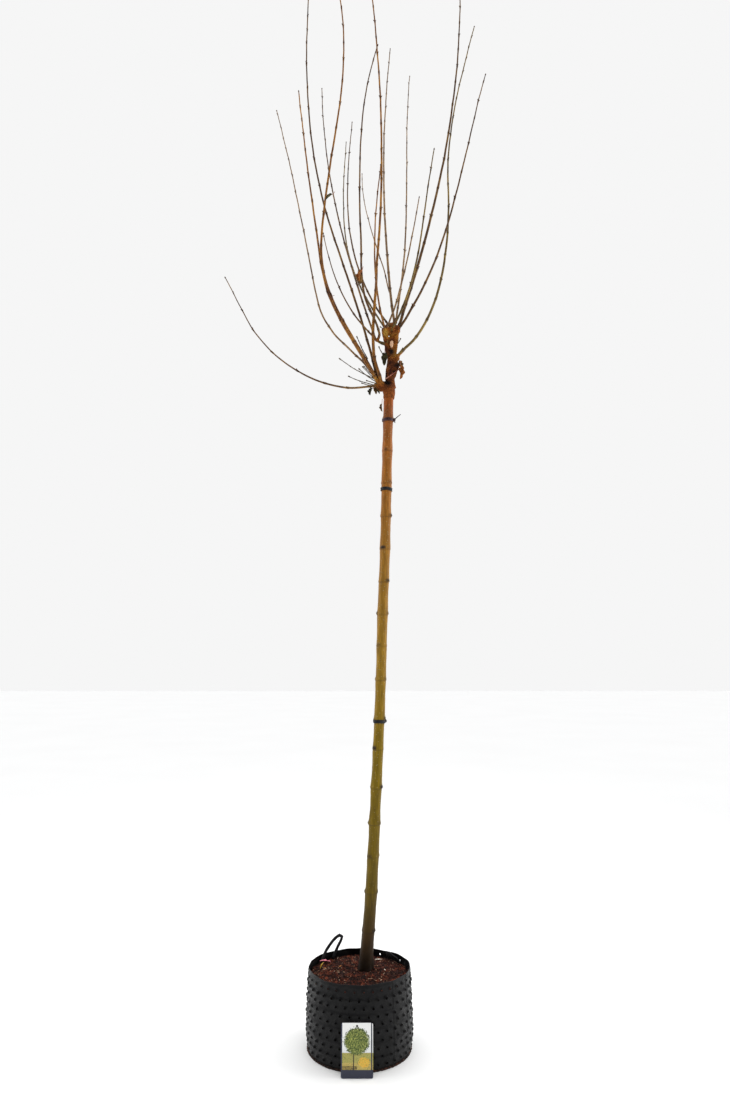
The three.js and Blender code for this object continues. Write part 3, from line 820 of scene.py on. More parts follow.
def make_head(material, feet):
    """The healed graft as one skin: limbs, knuckles and the flared feet of the shoots, melted
    together and then roughened."""
    parts = []
    for node in HEAD_NODES[:5]:
        line = limb_line(node, below=Vector((0.125, 0, 2.3)))
        points, radii, run = even_line(line, 6 * MM)
        waist = 1.06 + 0.10 * np.sin(run * 60 + len(node))
        parts.append((*skin(points, radii * waist + 0.6 * MM, 16), 0))
    for seed, node in enumerate(HEAD_NODES[5:]):
        parts.append((*lumpy_ball(*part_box(node), seed * 7.0), 0))
    for seed, (node, shares, half) in enumerate(HEAD_LUMPS):
        middle, half = spot_in(node, *shares), Vector(half) * MM
        parts.append((*lumpy_ball(middle - half, middle + half, 20.0 + seed), 0))
    for points, radii in feet.values():
        if points[0][2] > BRANCH_HEIGHT:
            continue
        share = np.linspace(1, 0, len(points))
        parts.append((*skin(points, radii * (1.04 + 0.42 * share**2), 12, cap=0.2), 0))
    top = stem_rows[-1]
    collar = np.array([[top[1] + 0.0002 * k, 0.0, top[0] - 0.045 + 0.004 * k] for k in range(16)])
    swell = top[3] + 0.0012 + 0.0026 * np.sin(np.linspace(0, math.pi, 16)) ** 2
    parts.append((*skin(collar, swell, 24, cap=0.1), 0))
    head = joined_object("graft_head", parts, [material])
    remesh = head.modifiers.new("melt", "REMESH")
    remesh.mode = "VOXEL"
    remesh.voxel_size = HEAD_VOXEL
    ease = head.modifiers.new("ease", "SMOOTH")
    ease.factor = 0.5
    ease.iterations = 5
    bake_modifiers(head)
    mesh = head.data
    mesh.polygons.foreach_set("use_smooth", [True] * len(mesh.polygons))
    # painted shade for each point: darkest in the pressed-in pockets and in the pits of the rough bark
    hollow_shade = []
    pockets = [(spot_in(node, *shares), reach * MM) for node, shares, reach in HOLLOWS]

    def relief(spot):
        dark = sum(math.exp(-((spot - middle).length / reach) ** 2) for middle, reach in pockets)
        # where the rough surface dips into a pit, it gets painted shade as well
        pit = max(0.0, -noise.noise(spot * 70)) * 0.5
        hollow_shade.append(min(1.0, dark * 1.1 + pit))
        rough = 1.3 * MM * noise.noise(spot * 70) + 0.9 * MM * noise.noise(spot * 170)
        crack = -1.2 * MM * max(0.0, 0.25 - abs(noise.noise(spot * Vector((90, 90, 38)))))
        return rough + crack - 3.5 * MM * min(1, dark)

    push_out(head, relief)
    mesh.attributes.new("hollow_shade", "FLOAT", "POINT").data.foreach_set("value", hollow_shade)
    give(head, "graft_bark", *HEAD_NODES)


def make_cut_face(material):
    """The pale sawn end of the stub between the two forks."""
    low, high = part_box("head_cut_stub")
    tip = Vector(((low.x + high.x) / 2, low.y - 1.5 * MM, high.z - 14 * MM))
    facing = Vector((-0.05, -0.97, 0.22)).normalized()
    turn = facing.to_track_quat("Z", "Y").to_matrix()
    points = []
    sides = 20
    for up, reach in ((-7, 5.6), (-1.0, 6.0), (0.2, 5.6), (0.6, 4.0), (0.9, 2.0)):
        for side in range(sides):
            angle = side / sides * 2 * math.pi
            out = reach * (1 + 0.06 * math.sin(3 * angle))
            spot = Vector((out * 1.15 * math.cos(angle), out * 2.9 * math.sin(angle), up)) * MM
            points.append(tip + turn @ spot)
    faces = wall_faces(5, sides)
    faces.append(tuple(range(sides - 1, -1, -1)))
    faces.append(tuple(4 * sides + side for side in range(sides)))
    give(mesh_object("sawn_stub_end", points, faces, [material]), "graft_bark")


# ------------------------------------------------------------------ dead twigs and leaves
DEAD_TWIGS = [                          # node and shares of its box at the foot, then bearing and
    # rise in degrees (180 is to the left, 90 to the back) and length in mm
    ("head_left_knuckle", (0.3, 0.2, 0.9), 182, 30, 190),
    ("head_left_knuckle", (0.1, 0.3, 0.5), 185, 18, 120),
    ("head_left_knuckle", (0.2, 0.2, 0.9), 182, 45, 85),
    ("head_left_knuckle", (0.3, 0.3, 1.0), 178, 45, 85),
    ("head_left_knuckle", (0.2, 0.1, 0.6), 185, 15, 45),
    ("shoot_left_4_lower", (0.8, 0.4, 0.1), 180, 65, 110),
    ("head_left_knuckle", (0.1, 0.2, 0.4), 190, 10, 60),
    ("head_left_fork", (0.2, 0.2, 0.1), 185, 60, 45),
    ("head_right_arm", (0.6, 0.2, 0.8), 0, 60, 25),
    ("head_upper_knuckle", (0.9, 0.3, 0.2), 0, 60, 28),
    ("head_left_knuckle", (0.4, 0.8, 0.8), 145, 40, 140),
    ("head_left_knuckle", (0.5, 0.9, 0.6), 110, 40, 100),
    ("head_upper_knuckle", (0.3, 0.8, 0.4), 115, 35, 90),
]


def make_dead_twigs(material):
    """Short dry twigs, mostly under the left knuckle, each with a knobbed end."""
    parts = []
    for number, (node, shares, bearing, rise, length) in enumerate(DEAD_TWIGS):
        rng = np.random.default_rng(40 + number)
        foot = np.array(spot_in(node, *shares)) / MM
        flat = math.cos(math.radians(rise))
        way = np.array([flat * math.cos(math.radians(bearing)),
                        flat * math.sin(math.radians(bearing)), math.sin(math.radians(rise))])
        tip = foot + way * length
        count = max(6, int(length / 5))
        share = np.linspace(0, 1, count)
        droop = np.array([0, 0, 1.0]) * np.sin(share * math.pi)[:, None] * length * 0.03
        bent = rng.normal(0, 0.35, (count, 3)).cumsum(0) * np.sin(share * math.pi)[:, None]
        points = (foot + share[:, None] * (tip - foot) - droop + bent) * MM
        knots = 0.7 * np.exp(-(((share * length + 9) % 22 - 11) / 2.2) ** 2)
        head = 1.6 * np.exp(-((share - 0.97) * length / 4.0) ** 2)
        radii = (2.3 - 0.8 * share + knots + head) * MM
        parts.append((*skin(points, radii, 8), 0))
        if length > 90:
            i = count // 2
            fork = points[i] + np.linspace(0, 1, 5)[:, None] * (way + np.array([0.5, -0.3, -0.5])) * 14 * MM
            parts.append((*skin(fork, np.full(5, 1.2 * MM), 6), 0))
    give(joined_object("dry_twigs", parts, [material]), "shoot_bark")


def withered_leaf(place, way, length, width, seed, number, curl=1.0):
    """A dried lobed leaf: a blade folded along its midrib, rolled in and crinkled, with both
    of its faces, hanging from its stalk at place."""
    rng = np.random.default_rng(seed)
    way = Vector(way).normalized()
    turn = way.to_track_quat("Y", "Z").to_matrix() @ Matrix.Rotation(rng.uniform(-0.6, 0.6), 3, "Y")
    rows, columns = 12, 8
    sheet = []
    for i in range(rows + 1):
        v = i / rows
        lobes = 0.62 + 0.38 * abs(math.sin(v * math.pi * 2.6 + 0.3))
        half = width / 2 * math.sin(math.pi * min(1, v * 0.92 + 0.06)) ** 0.7 * lobes
        for j in range(columns + 1):
            u = j / columns * 2 - 1
            across = half * math.sin(u * curl * 1.25) / 1.25
            lift = half * (1 - math.cos(u * curl * 1.25)) * 0.9
            crinkle = 0.09 * width * noise.noise(Vector((u * 3, v * 5, seed)))
            bend = 0.18 * length * v * v
            sheet.append(Vector((across, v * length, lift + crinkle - bend)))
    stride = columns + 1
    points = [Vector(place) + turn @ p for p in sheet]
    faces = []
    for i in range(rows):
        for j in range(columns):
            a = i * stride + j
            faces.append((a, a + 1, a + stride + 1, a + stride))
    return points, faces, number


DEAD_LEAVES = [                         # node and shares of its box at the stalk's end, the way it
    # hangs, length, width, tint and curl
    ("head_cut_stub", (-1.5, 0.0, 0.1), (-0.05, -0.2, -1), 55, 35, 0, 1.3),
    ("head_right_arm", (1.0, 0.0, 0.1), (0.1, -0.1, -1), 60, 40, 1, 1.0),
    ("head_right_arm", (0.8, -0.2, 0.0), (0.3, -0.5, -1), 35, 28, 1, 1.1),
    ("head_left_knuckle", (-0.1, 0.2, 0.2), (-0.5, -0.2, -1), 32, 26, 0, 1.5),
    ("head_left_knuckle", (0.0, 0.1, 0.2), (0.4, -0.4, -1), 30, 22, 2, 1.5),
    ("head_left_knuckle", (0.2, 0.1, 0.0), (0.6, -0.1, -0.6), 20, 14, 0, 1.4),
    ("tie_upper", (0.0, 0.0, 5.0), (-0.1, 0, -1), 34, 16, 2, 1.6),
    ("shoot_left_3_upper", (0.5, 0.5, 0.1), (-0.9, -0.2, -0.7), 40, 24, 0, 1.2),
    ("shoot_front_left_lower", (0.1, 0.2, 0.5), (-0.4, -0.2, -1), 50, 30, 1, 1.4),
    ("shoot_front_left_lower", (0.1, 0.3, 0.5), (-0.2, 0.3, -1), 45, 26, 2, 1.5),
    ("head_right_arm", (0.9, 1.2, 0.3), (0.3, 0.6, -0.8), 36, 26, 2, 1.3),
    ("head_upper_knuckle", (0.8, 1.0, 0.1), (0.2, 0.9, -0.4), 38, 30, 1, 1.2),
]


def make_dead_leaves(materials):
    """Withered leaves and their stalks, with a long stalk across the graft and a loose one."""
    blades = []
    stalks = []
    for number, (node, shares, way, length, width, tint, curl) in enumerate(DEAD_LEAVES):
        start = spot_in(node, *shares)
        blades.append(withered_leaf(start, way, length * MM, width * MM, 60 + number, tint, curl))
        back = start - Vector(way).normalized() * 14 * MM + Vector((0, 0, 6 * MM))
        stalk = np.array([back.lerp(start, t) + Vector((0, 0, -3 * MM * math.sin(t * math.pi)))
                          for t in np.linspace(0, 1.1, 7)])
        stalks.append((*skin(stalk, np.linspace(1.1, 0.8, 7) * MM, 6), 0))
    leaves = joined_object("withered_leaves", blades, materials)
    thick = leaves.modifiers.new("thickness", "SOLIDIFY")
    thick.thickness = 0.5 * MM
    thick.offset = 0
    bake_modifiers(leaves)
    give(leaves, "shoot_bark")
    # a long reddish stalk lies across the stem's top, and a loose one hangs in the left shoots
    share = np.linspace(0, 1, 9)[:, None]
    sag = np.sin(share * math.pi)
    start, end = spot_in("head_left_knuckle", 0.8, -0.1, 0.9), spot_in("head_right_arm", 1.0, 0.0, 0.0)
    cross = np.array(start) * (1 - share) + np.array(end) * share - sag * (0, 8 * MM, 3 * MM)
    stalks.append((*skin(cross, np.full(9, 1.9 * MM), 8), 0))
    start = np.array(spot_in("shoot_left_4_lower", 0.0, 0.5, 0.55))
    loose = start + share * (40 * MM, -5 * MM, -45 * MM) - sag * (0, 0, 20 * MM)
    stalks.append((*skin(loose, np.full(9, 1.0 * MM), 6), 0))
    give(joined_object("leaf_stalks", stalks, [materials[3]]), "shoot_bark")


# ------------------------------------------------------------------ ties
def make_tie(node, material, wraps, facing, tail):
    """A soft band pulled round the stem: wraps lie one over the other, with a knot at facing
    and a loose end of tail millimetres."""
    low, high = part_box(node)
    middle = (low + high) / 2
    stem_radius = float(np.interp(middle.z, stem_rows[:, 0], stem_rows[:, 3]))
    parts = []
    width = (high.z - low.z) / wraps
    for wrap in range(wraps):
        centre_z = low.z + width * (wrap + 0.5)
        points = []
        rings, section = 72, 8
        for i in range(rings):
            angle = i / rings * 2 * math.pi
            lift = 1.5 * MM * math.sin(angle - facing + wrap * 1.3) + 0.7 * MM * math.sin(3 * angle)
            radius = stem_radius + 2.6 * MM + 0.4 * MM * math.sin(2 * angle + wrap)
            for k in range(section):
                turn = k / section * 2 * math.pi
                thick = 1.1 * MM * math.cos(turn)
                tall = width * 0.46 * math.sin(turn)
                tall = math.copysign(abs(tall) ** 0.8 * (width * 0.46) ** 0.2, tall)
                points.append(((middle.x + (radius + thick) * math.cos(angle)),
                               middle.y + (radius + thick) * math.sin(angle), centre_z + lift + tall))
        parts.append((points, hoop_faces(rings, section), 0))
    out = Vector((math.cos(facing), math.sin(facing), 0))
    knot = Vector((middle.x, middle.y, middle.z)) + out * (stem_radius + 5 * MM)
    half = Vector((6, 6, 7)) * MM
    parts.append((*lumpy_ball(knot - half, knot + half, facing), 0))
    if tail:
        end = [knot + out * t * tail * 0.8 * MM + Vector((0, 0, (tail * 0.8 * t - 6 * t * t) * MM))
               for t in np.linspace(0, 1, 10)]
        parts.append((*skin(np.array(end), np.linspace(2.2, 1.4, 10) * MM, 8), 0))
        stub = [knot + Vector((0, 0, -t * 13 * MM)) + out * t * 3 * MM for t in np.linspace(0, 1, 6)]
        parts.append((*skin(np.array(stub), np.linspace(2.4, 1.8, 6) * MM, 8), 0))
    give(joined_object(node.replace("tie", "tie_band"), parts, [material]), "tie_tape", node)


# ------------------------------------------------------------------ bag pot
HOLES_ROUND = 36
HOLE_ROWS = 10
CELLS = 8                               # mesh cells from one hole to the next, both ways
FILM = 1.2 * MM
SEAMS = (math.radians(-50), math.radians(-26))   # bearings of the bag's upright seams


def make_bag(material):
    """A punched bag: a thin film with staggered holes, each with a lip pushed outwards, two
    upright seams and a turned rim. Gives back the outline of the bag's side."""
    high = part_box("bag_pot")[1]
    points = node_points("bag_pot")
    reach = np.hypot(points[:, 0], points[:, 1])
    levels = np.unique(points[:, 2].round(4))
    outline = np.array([[z, reach[abs(points[:, 2] - z) < 2e-4].max()] for z in levels])
    columns = HOLES_ROUND * CELLS
    pitch = (high.z - 0.018) / HOLE_ROWS
    rows = HOLE_ROWS * CELLS + 3
    heights = 0.010 + (np.arange(rows + 1)) * pitch / CELLS
    heights = heights[heights < high.z - 0.001]
    heights = np.append(heights, high.z)
    rows = len(heights)
    wall = np.zeros((rows, columns, 3))
    angle_step = 2 * math.pi / columns
    radius0 = np.interp(heights, outline[:, 0], outline[:, 1])
    holes = {}
    for row in range(HOLE_ROWS):
        for turn in range(HOLES_ROUND):
            if row == HOLE_ROWS - 1 and HOLES_ROUND * 0.2 < turn < HOLES_ROUND * 0.48:
                continue    # the rim is folded double here
            column = turn * CELLS + (CELLS // 2 if row % 2 else 0)
            holes[(row * CELLS + CELLS // 2, column % columns)] = (row, turn)
    rng = np.random.default_rng(5)
    lip = {key: (rng.uniform(0.7, 1.5), rng.uniform(-0.5, 0.5), rng.uniform(0.8, 1.15)) for key in holes}
    for i in range(rows):
        for j in range(columns):
            z = heights[i]
            angle = j * angle_step
            spot = Vector((math.cos(angle) * 2.2, math.sin(angle) * 2.2, z * 9))
            slack = 2.6 * MM * noise.noise(spot) + 1.5 * MM * noise.noise(spot * 2.7)
            fold = 2.2 * MM * noise.noise(Vector((math.cos(angle) * 3, math.sin(angle) * 3, z * 55)))
            r = radius0[i] - 1.5 * MM + slack + fold * 0.6
            for seam in SEAMS:
                off = (angle - seam + math.pi) % (2 * math.pi) - math.pi
                r += 2.6 * MM * math.exp(-(off * 200 / 2.4) ** 2) - 1.4 * MM * math.exp(-(off * 200 / 9) ** 2)
            top = high.z - z
            if top < 0.014:
                r += 1.3 * MM * math.exp(-((top - 0.009) / 0.003) ** 2)
                wave = noise.noise(Vector((math.cos(angle) * 3.1, math.sin(angle) * 3.1, 5)))
                z += (3.0 * wave - 3.0 * math.sin(angle)) * MM * (1 - top / 0.014)
            wall[i, j] = (r * math.cos(angle), r * math.sin(angle), z)
    out = wall.copy()
    out[..., 2] = 0
    out /= np.linalg.norm(out, axis=2)[..., None]
    moved = wall.copy()
    cut = set()
    for (ci, cj), (push, tilt, size) in ((key, lip[key]) for key in holes):
        if ci + 4 >= rows:
            continue
        for di in range(-3, 4):
            for dj in range(-3, 4):
                i, j = ci + di, (cj + dj) % columns
                if not 0 <= i < rows:
                    continue
                far = math.hypot(di * pitch / CELLS, dj * angle_step * 0.2) / MM
                moved[i, j] += out[i, j] * 1.5 * MM * push * math.exp(-((far - 3.5) / 3.4) ** 2)
        middle = wall[ci, cj]
        for di in (-1, 0, 1):
            for dj in (-1, 0, 1):
                if di or dj:
                    i, j = ci + di, (cj + dj) % columns
                    way = math.atan2(di, dj)
                    side = np.array([-out[ci, cj][1], out[ci, cj][0], 0])
                    hem = side * math.cos(way) * 3.4 * MM * size + np.array([0, 0, 1]) * (
                        math.sin(way + tilt * 0.4) * 4.3 * MM * size)
                    pushed = np.dot(moved[i, j] - wall[i, j], out[i, j])
                    moved[i, j] = middle + hem + out[i, j] * (pushed + 0.4 * MM)
        for di in (-1, 0):
            for dj in (-1, 0):
                cut.add((ci + di, (cj + dj) % columns))
    lips = [((wall[c] + out[c] * 0.8 * MM), out[c] + np.array([0, 0, 0.25 * tilt]),
             np.array([4.4 * size, 4.4 * size, 2.4 * push]) * MM)
            for c, (push, tilt, size) in lip.items() if c[0] + 4 < rows]
    verts = moved.reshape(-1, 3).tolist()
    faces = []
    for i in range(rows - 1):
        for j in range(columns):
            if (i, j) not in cut:
                nxt = (j + 1) % columns
                low_row, high_row = i * columns, (i + 1) * columns
                faces.append((low_row + j, low_row + nxt, high_row + nxt, high_row + j))
    # the round corner and the flat underside, ring by ring to the middle
    previous = 0
    base_radius = float(radius0[0]) - 1.5 * MM
    underside = [(6, 1.2), (2.5, 4.5), (0.8, 10), (0, 30), (0, 80), (0, 140)]  # drop and inset in mm
    for drop, inset in [(drop * MM, inset * MM) for drop, inset in underside]:
        start = len(verts)
        for j in range(columns):
            angle = j * angle_step
            spot = Vector((math.cos(angle) * 4, math.sin(angle) * 4, 0))
            r = base_radius - inset + 0.8 * MM * noise.noise(spot)
            verts.append((r * math.cos(angle), r * math.sin(angle), drop))
        for j in range(columns):
            nxt = (j + 1) % columns
            faces.append((start + j, start + nxt, previous + nxt, previous + j))
        previous = start
    verts.append((0, 0, 0))
    for j in range(columns):
        faces.append((len(verts) - 1, previous + (j + 1) % columns, previous + j))
    bag = mesh_object("bag_film", verts, faces, [material])
    thick = bag.modifiers.new("film", "SOLIDIFY")
    thick.thickness = FILM
    thick.offset = -1
    bake_modifiers(bag)
    mesh = bmesh.new()
    mesh.from_mesh(bag.data)
    loose = [v for v in mesh.verts if not v.link_faces]
    bmesh.ops.delete(mesh, geom=loose, context="VERTS")
    mesh.to_mesh(bag.data)
    mesh.free()
    give(bag, "bag_film", "bag_pot")
    section = [(1.6, -0.45), (1.06, 1.0), (0.86, 0.6), (1.1, -0.5)]
    sides = 10
    ring = [(out * math.cos(k / sides * 2 * math.pi), out * math.sin(k / sides * 2 * math.pi), up)
            for out, up in section for k in range(sides)]
    size = len(section)
    round_faces = [(a * sides + k, a * sides + (k + 1) % sides, (a + 1) % size * sides + (k + 1) % sides,
                    (a + 1) % size * sides + k) for a in range(size) for k in range(sides)]
    repeat("hole_lips", mesh_object("lip", ring, round_faces, []), lips, material, "bag_film")
    return outline


def make_base_weld(material, outline):
    """The ragged fin of welded film where the side meets the base."""
    count = 540
    verts = []
    section = [(0.0, 1.6), (3.4, 1.2), (3.8, 3.2), (0.4, 7.0), (-2.0, 4.0)]
    base = float(outline[1, 1]) - 1.4 * MM
    for i in range(count):
        angle = i / count * 2 * math.pi
        ruffle = noise.noise(Vector((math.cos(angle) * 30, math.sin(angle) * 30, 0)))
        fine = noise.noise(Vector((math.cos(angle) * 80, math.sin(angle) * 80, 3)))
        for out, up in section:
            r = base + (out * (1 + 0.8 * ruffle) + 0.8 * fine) * MM
            z = max(0.5, up + (2.2 * ruffle + 1.3 * fine) * up / 5) * MM
            verts.append((r * math.cos(angle), r * math.sin(angle), z))
    faces = hoop_faces(count, len(section))
    give(mesh_object("bag_base_weld", verts, faces, [material]), "bag_film")


def make_handle(node, material):
    """A strap loop, smoothed from its frame solid."""
    mesh = bpy.data.meshes.new(f"{node}_strap")
    work = bmesh.new()
    work.from_mesh(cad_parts[node].data)
    bmesh.ops.remove_doubles(work, verts=work.verts, dist=1e-5)
    bmesh.ops.dissolve_limit(work, angle_limit=0.001, verts=work.verts, edges=work.edges)
    work.to_mesh(mesh)
    work.free()
    mesh.materials.append(material)
    strap = bpy.data.objects.new(f"{node}_strap", mesh)
    bpy.context.scene.collection.objects.link(strap)
    edge = strap.modifiers.new("edges", "BEVEL")
    edge.width = 1.0 * MM
    edge.segments = 2
    fine = strap.modifiers.new("fine", "SUBSURF")
    fine.levels = fine.render_levels = 2
    bake_modifiers(strap)
    push_out(strap, lambda spot: 1.1 * MM + 0.5 * MM * noise.noise(spot * 240))
    strap.data.polygons.foreach_set("use_smooth", [True] * len(strap.data.polygons))
    give(strap, "bag_film", node)


# ------------------------------------------------------------------ soil
def soil_height(outline_points, radius):
    """Height of the root ball's top at a distance from the bag's middle."""
    return float(np.interp(radius, outline_points[:, 0], outline_points[:, 1]))


def chip_mesh(name, long, wide, thick, seed):
    """One splinter of bark: a flattened, broken lump of about twenty faces."""
    rng = np.random.default_rng(seed)
    points = []
    stations, sides = 4, 5
    for k in range(stations):
        t = k / (stations - 1)
        girth = math.sin(math.pi * (0.18 + 0.64 * t)) ** 0.5
        for side in range(sides):
            angle = side / sides * 2 * math.pi
            wobble = rng.uniform(0.65, 1.15)
            points.append(((t - 0.5) * long + rng.uniform(-0.06, 0.06) * long,
                           wide / 2 * girth * wobble * math.cos(angle),
                           thick / 2 * girth * wobble * math.sin(angle)))
    faces = wall_faces(stations, sides)
    faces.append(tuple(range(sides - 1, -1, -1)))
    faces.append(tuple((stations - 1) * sides + side for side in range(sides)))
    return mesh_object(name, points, faces, [], smooth=False)


def strew(name, surface, copy, finish, **inputs):
    """Copies of a chip strewn over a surface, tumbled and of mixed sizes."""
    tree = bpy.data.node_groups.new(name, "GeometryNodeTree")
    given = input_sockets(tree, Surface="Geometry", Copy="Object", Finish="Material",
                          Density="Float", Smallest="Float", Largest="Float", Tumble="Float",
                          Seed="Int")
    spread = add(tree, "GeometryNodeDistributePointsOnFaces",
                 {"Mesh": given["Surface"], "Density": given["Density"], "Seed": given["Seed"]})
    shape = add(tree, "GeometryNodeObjectInfo", {"Object": given["Copy"]}).outputs["Geometry"]
    least = add(tree, "ShaderNodeMath", {0: given["Tumble"], 1: -1.0}, operation="MULTIPLY")
    low = add(tree, "ShaderNodeCombineXYZ", {"X": least.outputs[0], "Y": least.outputs[0]})
    high = add(tree, "ShaderNodeCombineXYZ", {"X": given["Tumble"], "Y": given["Tumble"],
                                              "Z": 2 * math.pi})
    turn = add(tree, "FunctionNodeRandomValue",
               {"Min": low.outputs[0], "Max": high.outputs[0], "Seed": given["Seed"]},
               data_type="FLOAT_VECTOR")
    size = add(tree, "FunctionNodeRandomValue",
               {2: given["Smallest"], 3: given["Largest"], "Seed": given["Seed"]})
    finish_copies(tree, add(tree, "GeometryNodeInstanceOnPoints",
                            {"Points": spread.outputs["Points"], "Instance": shape,
                             "Rotation": turn.outputs["Value"], "Scale": size.outputs[1]}))
    carrier = bpy.data.objects.new(name, surface.data.copy())
    bpy.context.scene.collection.objects.link(carrier)
    run_copies(carrier, tree, "potting_soil", finish, Copy=copy, **inputs)


SCRAPS = [                              # bearing and share of the way out to the soil's edge, the way
    # it lies, length, width, tint and curl
    (150, 0.9, (1, 0.1, 0.12), 40, 30, 0, 0.6), (175, 0.75, (0.3, 0.1, 1), 24, 16, 1, 0.9),
    (175, 0.7, (0.5, -0.6, 0.5), 18, 12, 2, 0.8), (60, 0.6, (1, 0.1, 0.1), 30, 9, 3, 0.5),
    (165, 0.4, (0.4, 1, 0.2), 20, 9, 2, 0.8), (-5, 0.5, (-0.5, 1, 0.2), 18, 8, 3, 0.6),
]


def make_scraps(materials):
    """Fallen petals, leaf scraps and straw on the soil."""
    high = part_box("root_ball")[1]
    parts = []
    for number, (bearing, out, way, length, width, tint, curl) in enumerate(SCRAPS):
        reach = high.x * out
        place = Vector((reach * math.cos(math.radians(bearing)),
                        reach * math.sin(math.radians(bearing)), high.z - 6 * MM * out))
        parts.append(withered_leaf(place, way, length * MM, width * MM, 90 + number, tint, curl))
    scraps = joined_object("scraps_on_soil", parts, materials)
    thick = scraps.modifiers.new("thickness", "SOLIDIFY")
    thick.thickness = 0.6 * MM
    thick.offset = 0
    bake_modifiers(scraps)
    give(scraps, "potting_soil")


SOIL_MIDDLE = 4 * MM                    # the small ring that closes the soil's middle
SOIL_REACH = 186 * MM                   # keeps the chips clear of the bag's film


def make_soil(materials):
    """The root ball with its rough peat top, and the chips, crumbs and splinters on it."""
    points = node_points("root_ball")
    reach = np.hypot(points[:, 0], points[:, 1])
    top = points[:, 2] > 0.25
    rim = np.unique(np.column_stack([reach[top].round(4), points[top][:, 2].round(4)]), axis=0)
    sides = 160
    radii = np.linspace(SOIL_MIDDLE, SOIL_REACH, 46)
    verts = []
    for r in radii:
        for side in range(sides):
            angle = side / sides * 2 * math.pi
            spot = Vector((r * math.cos(angle), r * math.sin(angle), 0))
            rough = (3.0 * MM * noise.noise(spot * 22) + 2.0 * MM * noise.noise(spot * 70)
                     + 1.2 * MM * noise.noise(spot * 190))
            verts.append((spot.x, spot.y, soil_height(rim, r) - 1.5 * MM + rough))
    faces = spread_faces(len(radii), sides)
    surface = mesh_object("soil_surface", verts, faces, [materials["peat"]])
    last = (len(radii) - 1) * sides
    verts = [tuple(v.co) for v in surface.data.vertices]
    # close the lump: a wall down inside the film, a flat underside, and the middle of the top
    floor = 4 * MM
    for r, z in ((radii[-1], 0.12), (radii[-1], floor), (SOIL_MIDDLE, floor)):
        verts += [(r * math.cos(side / sides * 2 * math.pi), r * math.sin(side / sides * 2 * math.pi), z)
                  for side in range(sides)]
    closed = list(faces)
    chain = [last, len(radii) * sides, (len(radii) + 1) * sides, (len(radii) + 2) * sides]
    for a, b in zip(chain, chain[1:]):
        for side in range(sides):
            nxt = (side + 1) % sides
            closed.append((a + side, b + side, b + nxt, a + nxt))
    closed.append(tuple(range(sides)))
    closed.append(tuple(chain[-1] + side for side in range(sides - 1, -1, -1)))
    ball = mesh_object("root_ball_soil", verts, closed, [materials["peat"]])
    give(ball, "potting_soil", "root_ball")
    strew("bark_chips", surface, chip_mesh("chip", 15 * MM, 6 * MM, 2.6 * MM, 1), materials["bark"],
          Density=21000.0, Smallest=0.35, Largest=1.25, Tumble=0.5, Seed=3)
    strew("peat_crumbs", surface, chip_mesh("crumb", 6 * MM, 4.5 * MM, 3.5 * MM, 2), materials["dark"],
          Density=26000.0, Smallest=0.5, Largest=1.3, Tumble=1.5, Seed=8)
    strew("pale_splinters", surface, chip_mesh("splinter", 13 * MM, 2.4 * MM, 1.6 * MM, 3),
          materials["pale"], Density=2600.0, Smallest=0.5, Largest=1.2, Tumble=0.45, Seed=12)
    bpy.data.objects.remove(surface)


# ------------------------------------------------------------------ plant label
LABEL_PICTURE = [                       # middle and half size as shares of the card, squareness,
    # raggedness, and the tints: a garden picture with no lettering
    ((0.50, 0.30), (0.60, 0.16), 12, 0.5, ("8c8f45", "b9ac5a", "6d7c39")),      # hedge and meadow
    ((0.50, 0.21), (0.60, 0.07), 12, 0.4, ("a8923f", "cdb765", "8a7c34")),      # dry grass
    ((0.26, 0.19), (0.24, 0.035), 12, 0.9, ("3f3a22", "7b6b36", "a8923f")),     # fence
    ((0.72, 0.29), (0.17, 0.095), 2, 0.8, ("c98a1c", "f0c64a", "8f8a2c")),      # yellow bush
    ((0.395, 0.34), (0.016, 0.19), 6, 0.1, ("241d14", "352a1c", "241d14")),     # trunk
    ((0.49, 0.67), (0.40, 0.245), 2, 0.9, ("252f10", "566a22", "b2b456")),      # round crown
    ((0.50, 0.075), (0.60, 0.08), 30, 0.0, ("1d2035", "24273e", "1d2035")),     # foot band
    ((0.955, 0.50), (0.020, 0.60), 30, 0.0, ("1d2035", "24273e", "1d2035")),    # edge strips
    ((0.018, 0.50), (0.022, 0.60), 30, 0.0, ("24273e", "2c3048", "24273e")),
]


